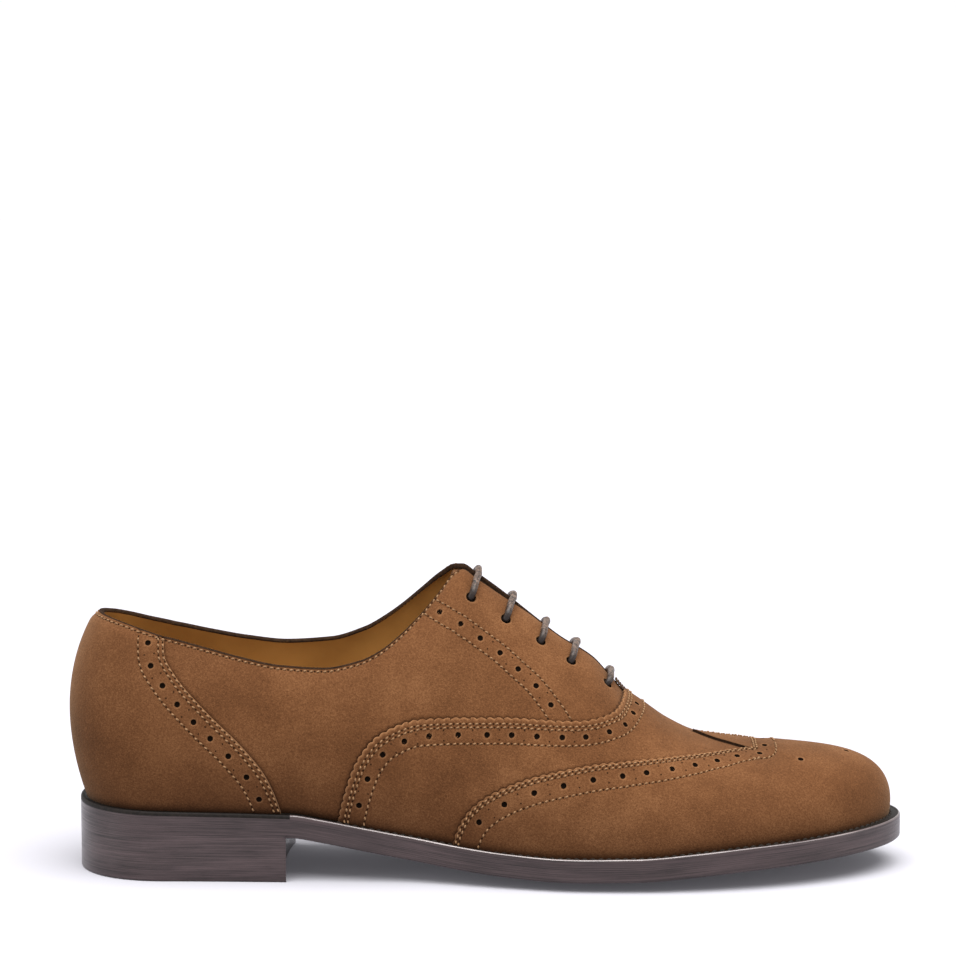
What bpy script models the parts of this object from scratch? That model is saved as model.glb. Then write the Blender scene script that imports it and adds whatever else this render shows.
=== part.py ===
"""A right-foot suede brogue Oxford, built piece by piece as a shoemaker assembles it.

Sizes are in millimetres, X runs from the back of the heel to the toe, +Y is the inner (medial) side
and Z = 0 is the floor. Meshes are written in metres, and the root empty puts the middle of the shoe's
footprint at the origin.

The upper is one function of two numbers: a station, which walks along one side from the back seam to the
toe in about a millimetre a step, and a height from the foot of the wall (0) to the top line or the ridge of
the vamp (1). Each station is a rib, a cubic curve in an upright plane, and the tables hold a row for each
section.
"""

import math

import bmesh
import bpy
import numpy as np

MM = 0.001
LATERAL, MEDIAL = -1.0, 1.0
GAP = 0.3

# Sole in plan
SOLE_LENGTH = 305.0
HEEL_AXIS_X = 34.0
BALL_AXIS_X = 205.0
RIDGE_END_X = 262.0
SPINE_Y = -2.4
HEEL_ROUNDNESS = 2.15
OUTER_TOE_ROUNDNESS, INNER_TOE_ROUNDNESS = 1.92, 2.12
SOLE_PLAN = (
    # x, centre line, half width
    (HEEL_AXIS_X, -1.8, 33.0),
    (78.0, -3.4, 32.8),
    (118.0, -5.6, 32.4),
    (158.0, -5.4, 42.2),
    (186.0, -3.6, 49.8),
    (BALL_AXIS_X, -2.5, 51.5),
)

# Sole from the side: underside of the outsole at its edge and on the centre line
SOLE_PROFILE = (
    # x, edge z, centre z
    (0.0, 17.8, 17.8),
    (40.0, 17.0, 17.0),
    (80.0, 16.2, 16.2),
    (92.0, 14.4, 14.1),
    (107.0, 11.6, 10.5),
    (124.0, 8.5, 6.9),
    (140.0, 6.1, 4.0),
    (157.0, 4.5, 1.6),
    (177.0, 3.6, 0.0),
    (205.0, 4.0, 0.0),
    (227.0, 5.6, 2.2),
    (245.0, 7.0, 4.0),
    (264.0, 8.0, 5.7),
    (284.0, 9.2, 7.8),
    (SOLE_LENGTH, 10.4, 10.4),
)
FLAT_SHARE = 0.3
SOLE_SHARES = (0.0, FLAT_SHARE, 0.6, 0.82)
OUTSOLE_THICKNESS = 5.4
OUTSOLE_BEVEL = 0.8
WELT_THICKNESS = 2.9
WELT_BEVEL = 0.7
WELT_LAP = 3.5
INSOLE_THICKNESS = 4.0

# Heel
BREAST_X = 78.0
BREAST_HOLLOW = 2.0
TOP_PIECE_THICKNESS = 6.0
LIFT_THICKNESS = 4.9
HEEL_BEVEL = 0.6

# Upper
WALL_THICKNESS = 2.0
PANEL_THICKNESS = 0.9
PANEL_LOW = 0.035
FACING_GAP, FACING_GAP_LOW = 2.2, 0.8
THROAT_X = 202.0


# Stations: round the heel, then straight along the side, then round the toe
HEEL_SPAN = 60.0
BALL_STATION = HEEL_SPAN + BALL_AXIS_X - HEEL_AXIS_X
TOE_SPAN = (RIDGE_END_X - BALL_AXIS_X) * math.pi / 2
TOE_STATION = BALL_STATION + TOE_SPAN


def side_station(x):
    """Station of the rib that crosses the shoe at x, between the heel and the ball."""
    return HEEL_SPAN + x - HEEL_AXIS_X


def ridge_station(x):
    """Station of the toe rib that starts on the ridge at x."""
    share = (x - BALL_AXIS_X) / (RIDGE_END_X - BALL_AXIS_X)
    return BALL_STATION + TOE_SPAN * math.asin(share) / (math.pi / 2)


THROAT_STATION = side_station(THROAT_X)
TOP_LINE = (
    # station, distance from the rib's base, z on the outer side, z on the inner side
    (0.0, 26.4, 95.0, 95.0),
    (15.0, 25.4, 94.6, 93.8),
    (30.0, 24.2, 93.5, 91.8),
    (45.0, 23.0, 91.3, 89.4),
    (HEEL_SPAN, 22.8, 88.5, 87.1),
    (side_station(47.0), 24.6, 85.3, 84.1),
    (side_station(61.0), 27.0, 81.9, 81.2),
    (side_station(76.0), 29.3, 79.1, 79.3),
    (side_station(92.0), 29.8, 78.2, 80.2),
    (side_station(105.0), 28.2, 80.6, 84.4),
    (side_station(112.0), 26.2, 83.8, 88.6),
    (side_station(119.0), 22.8, 88.9, 94.0),
    (side_station(126.5), 17.0, 95.8, 101.0),
    (side_station(133.7), 9.4, 103.4, 108.0),
    (side_station(139.0), 4.0, 109.4, 111.7),
    (side_station(142.0), FACING_GAP, 110.6, 112.0),
    (side_station(147.0), 2.0, 107.3, 108.9),
    (side_station(156.0), 1.6, 101.1, 102.5),
    (side_station(166.0), 1.0, 94.3, 94.6),
    (side_station(178.0), FACING_GAP_LOW, 85.2, 85.2),
    (side_station(190.0), FACING_GAP_LOW, 77.6, 77.6),
    (side_station(197.0), FACING_GAP_LOW, 70.0, 70.0),
    (THROAT_STATION, 0.0, 64.2, 64.2),
    (ridge_station(208.5), 0.0, 59.4, 59.4),
    (ridge_station(217.0), 0.0, 53.2, 53.2),
    (ridge_station(226.0), 0.0, 48.6, 48.6),
    (ridge_station(236.0), 0.0, 45.6, 45.6),
    (ridge_station(248.0), 0.0, 43.8, 43.8),
    (TOE_STATION, 0.0, 42.9, 42.9),
)

UPPER_SECTIONS = (
    # station, inset from the sole's edge, belly out, belly up, shoulder out, shoulder down
    (0.0, 3.4, 6.4, 17.5, 15.0, 23.3),
    (HEEL_SPAN, 2.8, 6.0, 16.0, 12.0, 22.0),
    (side_station(65.0), 2.6, 6.4, 14.0, 9.0, 18.0),
    (side_station(92.0), 2.6, 6.6, 14.0, 8.0, 17.0),
    (side_station(119.0), 3.4, 8.0, 18.0, 12.0, 16.0),
    (side_station(140.0), 4.6, 8.0, 30.0, 17.0, 5.0),
    (side_station(167.0), 5.6, 7.0, 28.0, 20.0, 2.0),
    (side_station(193.0), 6.0, 5.5, 20.0, 24.0, 0.5),
    (BALL_STATION, 6.2, 5.0, 18.0, 26.0, 0.0),
    (ridge_station(228.0), 6.4, 4.0, 16.0, 26.0, 0.0),
    (TOE_STATION, 6.6, 3.6, 19.0, 24.0, -0.4),
)

# Mesh density of the forms
HEEL_RIBS, SIDE_RIBS, TOE_RIBS, WALL_ROWS = 6, 20, 10, 10
COUNTER_POINTS, VAMP_POINTS, WING_POINTS = 15, 33, 25
SEAT_POINTS, SEAT_SIDE_POINTS, BREAST_POINTS = 9, 5, 7
LACE_POINTS, LACE_BEVEL_STEPS = 6, 2
WELD = 0.001
SHARP_ANGLE = math.radians(35)

# Small steps along the wall for its slopes
STATION_STEP, HEIGHT_STEP, RIDGE_STEP = 0.4, 0.004, 1.0

# Lines of the panels in side view, from the sole up or back to front
COUNTER_LINE = (
    # x, z
    (77.5, 20.0),
    (75.4, 28.7),
    (71.1, 39.2),
    (63.5, 50.0),
    (50.4, 63.8),
    (38.7, 77.4),
    (34.4, 84.0),
    (33.6, 100.0),
)
VAMP_LINE = (
    # x, z
    (95.5, 10.0),
    (97.1, 24.0),
    (99.8, 35.1),
    (104.1, 46.1),
    (112.3, 55.3),
    (126.9, 60.3),
    (155.8, 61.0),
    (184.3, 59.4),
    (196.6, 61.1),
    (202.2, 66.0),
    (203.5, 75.0),
)
WING_LINE = (
    # x, z
    (137.0, 8.0),
    (139.4, 18.7),
    (144.1, 27.6),
    (155.4, 36.0),
    (173.7, 42.3),
    (195.2, 45.3),
    (217.2, 45.8),
    (246.0, 45.6),
    (250.0, 46.6),
)
WING_PEAK_X, WING_VALLEY_X, WING_CUT_X, WING_VALLEY_HALF = 227.6, 249.0, 256.0, 10.0

# Cutters run past the shoe on every side
CUT_BACK, CUT_FRONT, CUT_LOW, CUT_TOP, CUT_REACH = -30.0, 330.0, -10.0, 120.0, 90.0

# Tongue and lacing
TONGUE_BACK_X, TONGUE_FRONT_X = 137.0, 214.0
TONGUE_LOW, TONGUE_THICKNESS = 0.65, 1.5
EYELETS = (
    # x, height up the wall, how far the lace leans forward at the ridge
    (145.2, 0.82, 1.9),
    (158.0, 0.82, 2.0),
    (170.8, 0.82, 1.4),
    (181.9, 0.82, 1.8),
    (195.4, 0.86, 0.4),
)
EYELET_RADIUS, EYELET_SIDES = 1.7, 10
LACE_RADIUS = 1.3
LACE_CLEAR = 0.45

# Finishes
SUEDE_BROWN, SUEDE_ROUGHNESS = (0.21, 0.10, 0.045, 1.0), 0.95
SOLE_BROWN, SOLE_ROUGHNESS = (0.075, 0.055, 0.050, 1.0), 0.35
RUBBER_ROUGHNESS = 0.5
LINING_TAN, LINING_ROUGHNESS = (0.45, 0.26, 0.09, 1.0), 0.6
LACE_GREY_BROWN, LACE_ROUGHNESS = (0.10, 0.075, 0.065, 1.0), 0.4


def smooth(at, rows, column, level_ends=False):
    """Smooth curve through one column of a table, with no swing past its rows.

    Each piece is a cubic whose end slopes are the harmonic means of the neighbouring chords.
    """
    knots = np.array([row[0] for row in rows])
    values = np.array([row[column] for row in rows])
    step = np.diff(knots)
    chord = np.diff(values) / step
    slope = np.zeros(len(values))
    turning = chord[:-1] * chord[1:] > 0
    total = np.where(turning, chord[:-1] + chord[1:], 1.0)
    slope[1:-1] = np.where(turning, 2 * chord[:-1] * chord[1:] / total, 0.0)
    if not level_ends:
        slope[0], slope[-1] = chord[0], chord[-1]
    at = np.clip(np.asarray(at, float), knots[0], knots[-1])
    i = np.clip(np.searchsorted(knots, at, side="right") - 1, 0, len(step) - 1)
    t = (at - knots[i]) / step[i]
    return (
        values[i] * (1 + 2 * t) * (1 - t) ** 2
        + slope[i] * step[i] * t * (1 - t) ** 2
        + values[i + 1] * t * t * (3 - 2 * t)
        + slope[i + 1] * step[i] * t * t * (t - 1)
    )


def plan(station, side):
    """Base of the rib on the shoe's centre line, and the sole's edge straight out from it, in plan."""
    station = np.asarray(station, float)
    heel = station < HEEL_SPAN
    toe = station > BALL_STATION
    share = np.where(heel, station / HEEL_SPAN, np.where(toe, (station - BALL_STATION) / TOE_SPAN, 0.0))
    turn = share * math.pi / 2
    along, across = np.sin(turn).clip(0), np.cos(turn).clip(0)
    x = HEEL_AXIS_X + station - HEEL_SPAN
    x = np.where(heel, HEEL_AXIS_X * (1 - across ** (2 / HEEL_ROUNDNESS)), x)
    toe_reach = SOLE_LENGTH - BALL_AXIS_X
    toe_power = 2 / (OUTER_TOE_ROUNDNESS if side == LATERAL else INNER_TOE_ROUNDNESS)
    x = np.where(toe, BALL_AXIS_X + toe_reach * along**toe_power, x)
    taper = np.where(heel, along ** (2 / HEEL_ROUNDNESS), 1.0)
    taper = np.where(toe, across**toe_power, taper)
    x_side = np.clip(x, HEEL_AXIS_X, BALL_AXIS_X)
    centre = smooth(x_side, SOLE_PLAN, 1, level_ends=True)
    half = smooth(x_side, SOLE_PLAN, 2, level_ends=True)
    edge = np.stack([x, taper * (centre + side * half)], -1)
    ridge_reach = RIDGE_END_X - BALL_AXIS_X
    base_x = np.where(toe, BALL_AXIS_X + ridge_reach * along, np.clip(x, HEEL_AXIS_X, None))
    base = np.stack([base_x, np.full_like(base_x, SPINE_Y)], -1)
    return base, edge


def rib(station, side):
    """Base point, outward direction and length of a rib in plan, from the centre line to the sole's edge."""
    base, edge = plan(station, side)
    reach = np.linalg.norm(edge - base, axis=-1)
    return base, (edge - base) / reach[..., None], reach


def sole_under(x, share):
    """Height of the outsole's underside: level across the middle, then rising as a square to the edge."""
    edge = smooth(x, SOLE_PROFILE, 1)
    centre = smooth(x, SOLE_PROFILE, 2)
    rise = np.clip((share - FLAT_SHARE) / (1 - FLAT_SHARE), 0, None) ** 2
    return centre + (edge - centre) * rise


def on_sole(station, side, distance, height):
    """Point at a distance out along a rib and a height above the outsole's underside."""
    base, out, reach = rib(station, side)
    flat = base + out * np.asarray(distance)[..., None]
    z = sole_under(flat[..., 0], distance / reach) + height
    return np.concatenate([flat, z[..., None]], -1)


def foot_distance(station, side):
    """How far out along a rib the foot of the upper's wall stands."""
    return rib(station, side)[2] - smooth(station, UPPER_SECTIONS, 1, level_ends=True)


def top_height(station, side):
    """Height of the top line on one side."""
    return smooth(station, TOP_LINE, 2 if side == LATERAL else 3, level_ends=True)


def ridge_slope(station, side):
    """Rise of the top line for each millimetre towards the toe."""
    ahead = np.clip(station + RIDGE_STEP, 0, TOE_STATION)
    behind = np.clip(station - RIDGE_STEP, 0, TOE_STATION)
    run = plan(ahead, side)[0][..., 0] - plan(behind, side)[0][..., 0]
    rise = top_height(ahead, side) - top_height(behind, side)
    return rise / np.where(run > WELD, run, RIDGE_STEP)


def wall(station, height, side):
    """Outside of quarters and lining: a cubic rib from the foot past belly and shoulder to the top."""
    base, out, _ = rib(station, side)
    foot_r = foot_distance(station, side)
    stack = OUTSOLE_THICKNESS + GAP + WELT_THICKNESS + GAP
    foot_z = on_sole(station, side, foot_r, stack)[..., 2]
    belly_out, belly_up, shoulder_out, shoulder_down = (
        smooth(station, UPPER_SECTIONS, column, level_ends=True) for column in (2, 3, 4, 5)
    )
    top_r = smooth(station, TOP_LINE, 1, level_ends=True)
    top_z = top_height(station, side)
    on_toe = np.asarray(station) > BALL_STATION
    tilt = np.where(on_toe, ridge_slope(station, side) * out[..., 0], 0.0)
    shoulder_z = top_z - shoulder_down + tilt * shoulder_out
    h = np.asarray(height)
    weights = ((1 - h) ** 3, 3 * (1 - h) ** 2 * h, 3 * (1 - h) * h**2, h**3)
    r = sum(w * v for w, v in zip(weights, (foot_r, foot_r + belly_out, top_r + shoulder_out, top_r)))
    z = sum(w * v for w, v in zip(weights, (foot_z, foot_z + belly_up, shoulder_z, top_z)))
    return np.concatenate([base + out * r[..., None], z[..., None]], -1)


def wall_offset(station, height, side, offset):
    """Point of the wall moved outwards, square to the surface, by offset."""
    station, height = np.broadcast_arrays(np.asarray(station, float), np.asarray(height, float))
    ahead = np.clip(station + STATION_STEP, 0, TOE_STATION)
    behind = np.clip(station - STATION_STEP, 0, TOE_STATION)
    above, below = np.clip(height + HEIGHT_STEP, 0, 1), np.clip(height - HEIGHT_STEP, 0, 1)
    along = wall(ahead, height, side) - wall(behind, height, side)
    up = wall(station, above, side) - wall(station, below, side)
    normal = np.cross(along, up) * -side
    on_seam = (station <= 0) | (station >= TOE_STATION)
    normal[..., 1] = np.where(on_seam, 0.0, normal[..., 1])
    on_ridge = (height >= 1) & (station >= THROAT_STATION)
    slope = ridge_slope(station, side)
    ridge_normal = np.stack([-slope, np.zeros_like(slope), np.ones_like(slope)], -1)
    normal = np.where(on_ridge[..., None], ridge_normal, normal)
    normal /= np.linalg.norm(normal, axis=-1, keepdims=True)
    return wall(station, height, side) + normal * offset


def station_list():
    """Stations of the ribs down one side, closer together where the outline turns."""
    heel = np.linspace(0, HEEL_SPAN, HEEL_RIBS + 1)
    sides = np.linspace(HEEL_SPAN, THROAT_STATION, SIDE_RIBS)
    toe = np.linspace(THROAT_STATION, TOE_STATION, TOE_RIBS + 1)
    return np.concatenate([heel[:-1], sides, toe[1:]])


def ring_of_ribs():
    """Station and side of every rib, once round the shoe from the back seam by the outer side."""
    stations = station_list()
    out = [(s, LATERAL) for s in stations]
    back = [(s, MEDIAL) for s in stations[-2:0:-1]]
    return out + back


def new_object(name, points, faces, material):
    """Object with a closed mesh from points in millimetres, its normals turned outwards."""
    mesh = bpy.data.meshes.new(name)
    mesh.from_pydata((np.asarray(points) * MM).tolist(), [], faces)
    work = bmesh.new()
    work.from_mesh(mesh)
    bmesh.ops.remove_doubles(work, verts=work.verts, dist=WELD * MM)
    bmesh.ops.recalc_face_normals(work, faces=work.faces)
    work.to_mesh(mesh)
    work.free()
    mesh.shade_smooth()
    mesh.set_sharp_from_angle(angle=SHARP_ANGLE)
    mesh.materials.append(material)
    obj = bpy.data.objects.new(name, mesh)
    bpy.context.collection.objects.link(obj)
    return obj


def strip_faces(first, second, closed=True):
    """Triangles between two rows of point numbers, split the same way in every form so that forms nest."""
    faces = []
    count = len(first)
    for i in range(count if closed else count - 1):
        j = (i + 1) % count
        for corners in ((first[i], first[j], second[j]), (first[i], second[j], second[i])):
            if len(set(corners)) == 3:
                faces.append(corners)
    return faces


def form(name, inner, outer, low, material):
    """Hollow shell between two offsets of the wall, open underneath and along the top line."""
    ribs = ring_of_ribs()
    heights = np.linspace(0, 1, WALL_ROWS + 1)
    heights[0] = low
    station = np.array([s for s, _ in ribs])[:, None]
    lateral = np.array([side == LATERAL for _, side in ribs])[:, None, None]
    points = []
    for offset in (inner, outer):
        out_side = wall_offset(station, heights[None], LATERAL, offset)
        in_side = wall_offset(station, heights[None], MEDIAL, offset)
        grid = np.where(lateral, out_side, in_side)
        closed_top = station[:, 0] >= THROAT_STATION
        grid[closed_top, -1] = (out_side[closed_top, -1] + in_side[closed_top, -1]) / 2
        points.append(grid)
    count, rows = len(ribs), WALL_ROWS + 1
    number = np.arange(2 * count * rows).reshape(2, count, rows)
    for i, (s, side) in enumerate(ribs):
        if side == MEDIAL and s >= THROAT_STATION:
            number[:, i, -1] = number[:, count - i, -1]
    faces = []
    for k in range(rows - 1):
        faces += strip_faces(number[1, :, k], number[1, :, k + 1])
        faces += strip_faces(number[0, :, k], number[0, :, k + 1])
    faces += strip_faces(number[0, :, 0], number[1, :, 0])
    open_rim = [i for i, (s, _) in enumerate(ribs) if s <= THROAT_STATION]
    start = next(i for i in open_rim if ribs[i][1] == MEDIAL)
    rim = [i for i in open_rim if i >= start] + [i for i in open_rim if i < start]
    faces += strip_faces(number[1, rim, -1], number[0, rim, -1], closed=False)
    return new_object(name, np.concatenate([p.reshape(-1, 3) for p in points]), faces, material)


def prism(name, outline, axis, reach):
    """Cutter: a flat outline carried from -reach to reach along Y (seen from the side) or Z (in plan)."""
    points = []
    for end in (-reach, reach):
        points += [(a, end, b) if axis == "Y" else (a, b, end) for a, b in outline]
    count = len(outline)
    faces = [list(range(count)), list(range(2 * count - 1, count - 1, -1))]
    faces += [[i, (i + 1) % count, count + (i + 1) % count, count + i] for i in range(count)]
    obj = new_object(name, points, faces, None)
    obj.hide_render = True
    obj.display_type = "WIRE"
    return obj


def apply_boolean(target, other, operation):
    """Bakes a Boolean of target with other into target's mesh, then removes other."""
    modifier = target.modifiers.new(operation, "BOOLEAN")
    modifier.object = other
    modifier.operation = operation
    modifier.solver = "EXACT"
    graph = bpy.context.evaluated_depsgraph_get()
    baked = bpy.data.meshes.new_from_object(target.evaluated_get(graph))
    target.modifiers.clear()
    target.data = baked
    bpy.data.objects.remove(other)


def curve_rows(rows, samples):
    """Points along a smooth line through a table of (x, z) rows, by the distance between the rows."""
    flat = np.array(rows, float)
    gone = np.concatenate([[0], np.cumsum(np.linalg.norm(np.diff(flat, axis=0), axis=1))])
    table = [(g, x, z) for g, (x, z) in zip(gone, flat)]
    at = np.linspace(0, gone[-1], samples)
    return list(zip(smooth(at, table, 1), smooth(at, table, 2)))


def make_upper(material):
    """Quarters and lining as one hollow wall, with the eyelets punched through."""
    upper = form("upper", -WALL_THICKNESS, 0.0, 0.0, material)
    for side in (LATERAL, MEDIAL):
        for x, height, _ in EYELETS:
            apply_boolean(upper, eyelet_punch(x, height, side), "DIFFERENCE")
    return upper


def eyelet_place(x, height, side):
    """Middle of an eyelet on the wall and the direction square to the wall there."""
    station = np.array(side_station(x))
    centre = wall_offset(station, height, side, 0.0)
    tip = wall_offset(station, height, side, 1.0)
    return centre, tip - centre


def eyelet_punch(x, height, side):
    """Round cutter through the wall at an eyelet."""
    centre, normal = eyelet_place(x, height, side)
    across = np.cross(normal, (1.0, 0.0, 0.0))
    across /= np.linalg.norm(across)
    along = np.cross(normal, across)
    sides = EYELET_SIDES
    turn = np.arange(sides) * 2 * math.pi / sides
    ring = EYELET_RADIUS * (np.cos(turn)[:, None] * across + np.sin(turn)[:, None] * along)
    through = 2 * WALL_THICKNESS * normal
    points = np.concatenate([centre + ring - through, centre + ring + through])
    faces = [list(range(sides)), list(range(2 * sides - 1, sides - 1, -1))]
    faces += [[i, (i + 1) % sides, sides + (i + 1) % sides, sides + i] for i in range(sides)]
    return new_object("eyelet_punch", points, faces, None)


def make_panels(material):
    """Counter, vamp and wing cap, each cut from a thin shell between two offsets of the upper's wall."""
    first, second = GAP, 2 * GAP + PANEL_THICKNESS
    counter = form("heel_counter", first, first + PANEL_THICKNESS, PANEL_LOW, material)
    behind = curve_rows(COUNTER_LINE, COUNTER_POINTS) + [(CUT_BACK, CUT_TOP), (CUT_BACK, CUT_LOW)]
    apply_boolean(counter, prism("cut", behind, "Y", CUT_REACH), "INTERSECT")

    vamp = form("vamp", first, first + PANEL_THICKNESS, PANEL_LOW, material)
    ahead = curve_rows(VAMP_LINE, VAMP_POINTS) + [(CUT_FRONT, CUT_TOP), (CUT_FRONT, CUT_LOW)]
    apply_boolean(vamp, prism("cut", ahead, "Y", CUT_REACH), "INTERSECT")

    wing = form("wing_cap", second, second + PANEL_THICKNESS, PANEL_LOW, material)
    below = curve_rows(WING_LINE, WING_POINTS)
    below += [(WING_LINE[-1][0], CUT_TOP), (CUT_FRONT, CUT_TOP), (CUT_FRONT, CUT_LOW)]
    sides = prism("sides", below, "Y", CUT_REACH)
    peak = [(WING_PEAK_X, 0.0), (WING_VALLEY_X, WING_VALLEY_HALF), (WING_CUT_X, WING_VALLEY_HALF)]
    peak += [(x, -y) for x, y in peak[:0:-1]]
    peak = [(x, y + SPINE_Y) for x, y in peak]
    apply_boolean(sides, prism("peak", peak, "Z", CUT_TOP), "UNION")
    apply_boolean(wing, sides, "INTERSECT")
    return [counter, vamp, wing]


def make_outsole(material):
    """Leather outsole: arched, with toe spring, level in the middle of the tread, bevelled underneath."""
    ribs = ring_of_ribs()
    rings = [sole_ring(ribs, lambda reach, s=s: reach * s, 0.0) for s in SOLE_SHARES]
    rings.append(sole_ring(ribs, lambda reach: reach - OUTSOLE_BEVEL, 0.0))
    rings.append(sole_ring(ribs, lambda reach: reach, OUTSOLE_BEVEL))
    rings.append(sole_ring(ribs, lambda reach: reach, OUTSOLE_THICKNESS))
    rings += [sole_ring(ribs, lambda reach, s=s: reach * s, OUTSOLE_THICKNESS) for s in SOLE_SHARES[::-1]]
    return stacked_rings("outsole", rings, material)


def sole_ring(ribs, distance, height):
    """Ring of points round the sole, at a distance along each rib and a height above the underside."""
    ring = []
    for station, side in ribs:
        reach = rib(station, side)[2]
        ring.append(on_sole(np.array(station), side, np.array(distance(reach)), height))
    return np.array(ring)


def stacked_rings(name, rings, material):
    """Solid bounded by rings of the same ribs, closed where the end rings fold on the centre line."""
    count = len(rings[0])
    number = np.arange(len(rings) * count).reshape(len(rings), count)
    faces = []
    for low, high in zip(number[:-1], number[1:]):
        faces += strip_faces(low, high)
    return new_object(name, np.concatenate(rings), faces, material)


def make_welt(material):
    """Welt: a strip round the whole seat, lapped under the upper, with its outer edge bevelled."""
    ribs = ring_of_ribs()
    low = OUTSOLE_THICKNESS + GAP
    high = low + WELT_THICKNESS
    rings = [
        foot_ring(ribs, -WELT_LAP, low),
        sole_ring(ribs, lambda reach: reach, low),
        sole_ring(ribs, lambda reach: reach, high - WELT_BEVEL),
        sole_ring(ribs, lambda reach: reach - WELT_BEVEL, high),
        foot_ring(ribs, -WELT_LAP, high),
    ]
    return stacked_rings("welt", rings + rings[:1], material)


def foot_ring(ribs, outwards, height):
    """Ring of points beside the foot of the upper's wall, at a height above the outsole's underside."""
    ring = []
    for station, side in ribs:
        distance = foot_distance(np.array(station), side) + outwards
        ring.append(on_sole(np.array(station), side, distance, height))
    return np.array(ring)


def make_insole(material):
    """Insole: a plate inside the welt that follows the sole's curves and closes the upper underneath."""
    ribs = ring_of_ribs()
    low = OUTSOLE_THICKNESS + GAP
    inside = -WELT_LAP - GAP
    edge = [foot_ring(ribs, inside, low + h) for h in (0.0, INSOLE_THICKNESS)]
    under = [sole_ring(ribs, lambda reach, s=s: reach * s, low) for s in SOLE_SHARES[:-1]]
    over = [sole_ring(ribs, lambda reach, s=s: reach * s, low + INSOLE_THICKNESS) for s in SOLE_SHARES[:-1]]
    return stacked_rings("insole", under + edge + over[::-1], material)


def heel_outline(spread):
    """Plan of a heel layer: the sole's edge round the seat, closed by a slightly hollow breast."""
    round_the_back = np.linspace(0, HEEL_SPAN, SEAT_POINTS)
    to_the_breast = np.linspace(HEEL_SPAN, side_station(BREAST_X), SEAT_SIDE_POINTS)
    stations = np.append(round_the_back, to_the_breast[1:])
    outer = []
    for side in (MEDIAL, LATERAL):
        base, out, reach = rib(stations, side)
        outer.append(base + out * (reach + spread)[:, None])
    breast = np.linspace(outer[0][-1], outer[1][-1], BREAST_POINTS)[1:-1]
    sag = 1 - np.linspace(-1, 1, BREAST_POINTS)[1:-1] ** 2
    breast[:, 0] -= BREAST_HOLLOW * sag
    return np.concatenate([outer[1][::-1], outer[0][1:], breast])


def make_heel(lift_material, top_material):
    """Stacked heel: a top piece on the floor and leather lifts, the uppermost sloped to the seat."""
    seams = [0.0, TOP_PIECE_THICKNESS, TOP_PIECE_THICKNESS + LIFT_THICKNESS]
    names = ("heel_top_piece", "heel_lift_1", "heel_lift_2")
    pieces = []
    for i, name in enumerate(names):
        outline = heel_outline(0.0)
        low = np.full(len(outline), seams[i] + (GAP if i else 0.0))
        if i + 1 < len(names):
            high = np.full(len(outline), seams[i + 1])
        else:
            high = sole_under(outline[:, 0], 1.0) - GAP
        rings = []
        if i == 0:
            inner = heel_outline(-HEEL_BEVEL)
            rings.append(np.column_stack([inner, low]))
            low = low + HEEL_BEVEL
        rings.append(np.column_stack([outline, low]))
        rings.append(np.column_stack([outline, high]))
        count = len(outline)
        number = np.arange(len(rings) * count).reshape(len(rings), count)
        faces = [number[0].tolist(), number[-1][::-1].tolist()]
        for below, above in zip(number[:-1], number[1:]):
            faces += strip_faces(below, above)
        material = lift_material if i else top_material
        pieces.append(new_object(name, np.concatenate(rings), faces, material))
    return pieces


def make_tongue(material):
    """Tongue: a thin sheet under both facings, from inside the vamp to the top of the throat."""
    stations = station_list()
    inside = (stations > side_station(TONGUE_BACK_X)) & (stations < ridge_station(TONGUE_FRONT_X))
    stations = stations[inside][:, None]
    heights = np.linspace(0, 1, WALL_ROWS + 1)
    heights = heights[heights > TONGUE_LOW][None]
    grids = []
    for depth in (WALL_THICKNESS + GAP, WALL_THICKNESS + GAP + TONGUE_THICKNESS):
        outer_half = wall_offset(stations, heights, LATERAL, -depth)
        inner_half = wall_offset(stations, heights, MEDIAL, -depth)
        grids.append(np.concatenate([outer_half, inner_half[:, ::-1]], 1))
    count, rows = grids[0].shape[:2]
    number = np.arange(2 * count * rows).reshape(2, count, rows)
    faces = []
    for i in range(count - 1):
        faces += strip_faces(number[0, i], number[0, i + 1], closed=False)
        faces += strip_faces(number[1, i], number[1, i + 1], closed=False)
    for edge in (number[:, 0, :], number[:, -1, :], number[:, :, 0], number[:, :, -1]):
        faces += strip_faces(edge[1], edge[0], closed=False)
    return new_object("tongue", np.concatenate([g.reshape(-1, 3) for g in grids]), faces, material)


def make_laces(material):
    """Lace bars: a cord over the throat at each pair of eyelets, just clear of the facings."""
    bars = []
    for number, (x, low, lean) in enumerate(EYELETS, 1):
        clear = LACE_RADIUS + LACE_CLEAR
        heights = np.linspace(low, 1.0, LACE_POINTS)
        stations = side_station(x + lean * (heights - low) / (1 - low))
        out = wall_offset(stations, heights, LATERAL, clear)
        inn = wall_offset(stations, heights, MEDIAL, clear)
        crown = (out[-1] + inn[-1]) / 2
        path = np.concatenate([out[:-1], crown[None], inn[-2::-1]])
        curve = bpy.data.curves.new(f"lace_bar_{number}", "CURVE")
        curve.dimensions = "3D"
        curve.bevel_depth = LACE_RADIUS * MM
        curve.bevel_resolution = LACE_BEVEL_STEPS
        curve.use_fill_caps = True
        spline = curve.splines.new("POLY")
        spline.points.add(len(path) - 1)
        for point, place in zip(spline.points, path * MM):
            point.co = (*place, 1.0)
        curve.materials.append(material)
        obj = bpy.data.objects.new(curve.name, curve)
        bpy.context.collection.objects.link(obj)
        bars.append(obj)
    return bars


def new_material(name, colour, roughness):
    """Plain finish with the piece's colour."""
    material = bpy.data.materials.new(name)
    material.use_nodes = True
    shader = material.node_tree.nodes["Principled BSDF"]
    shader.inputs["Base Color"].default_value = colour
    shader.inputs["Roughness"].default_value = roughness
    shader.inputs["Metallic"].default_value = 0.0
    return material


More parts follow.
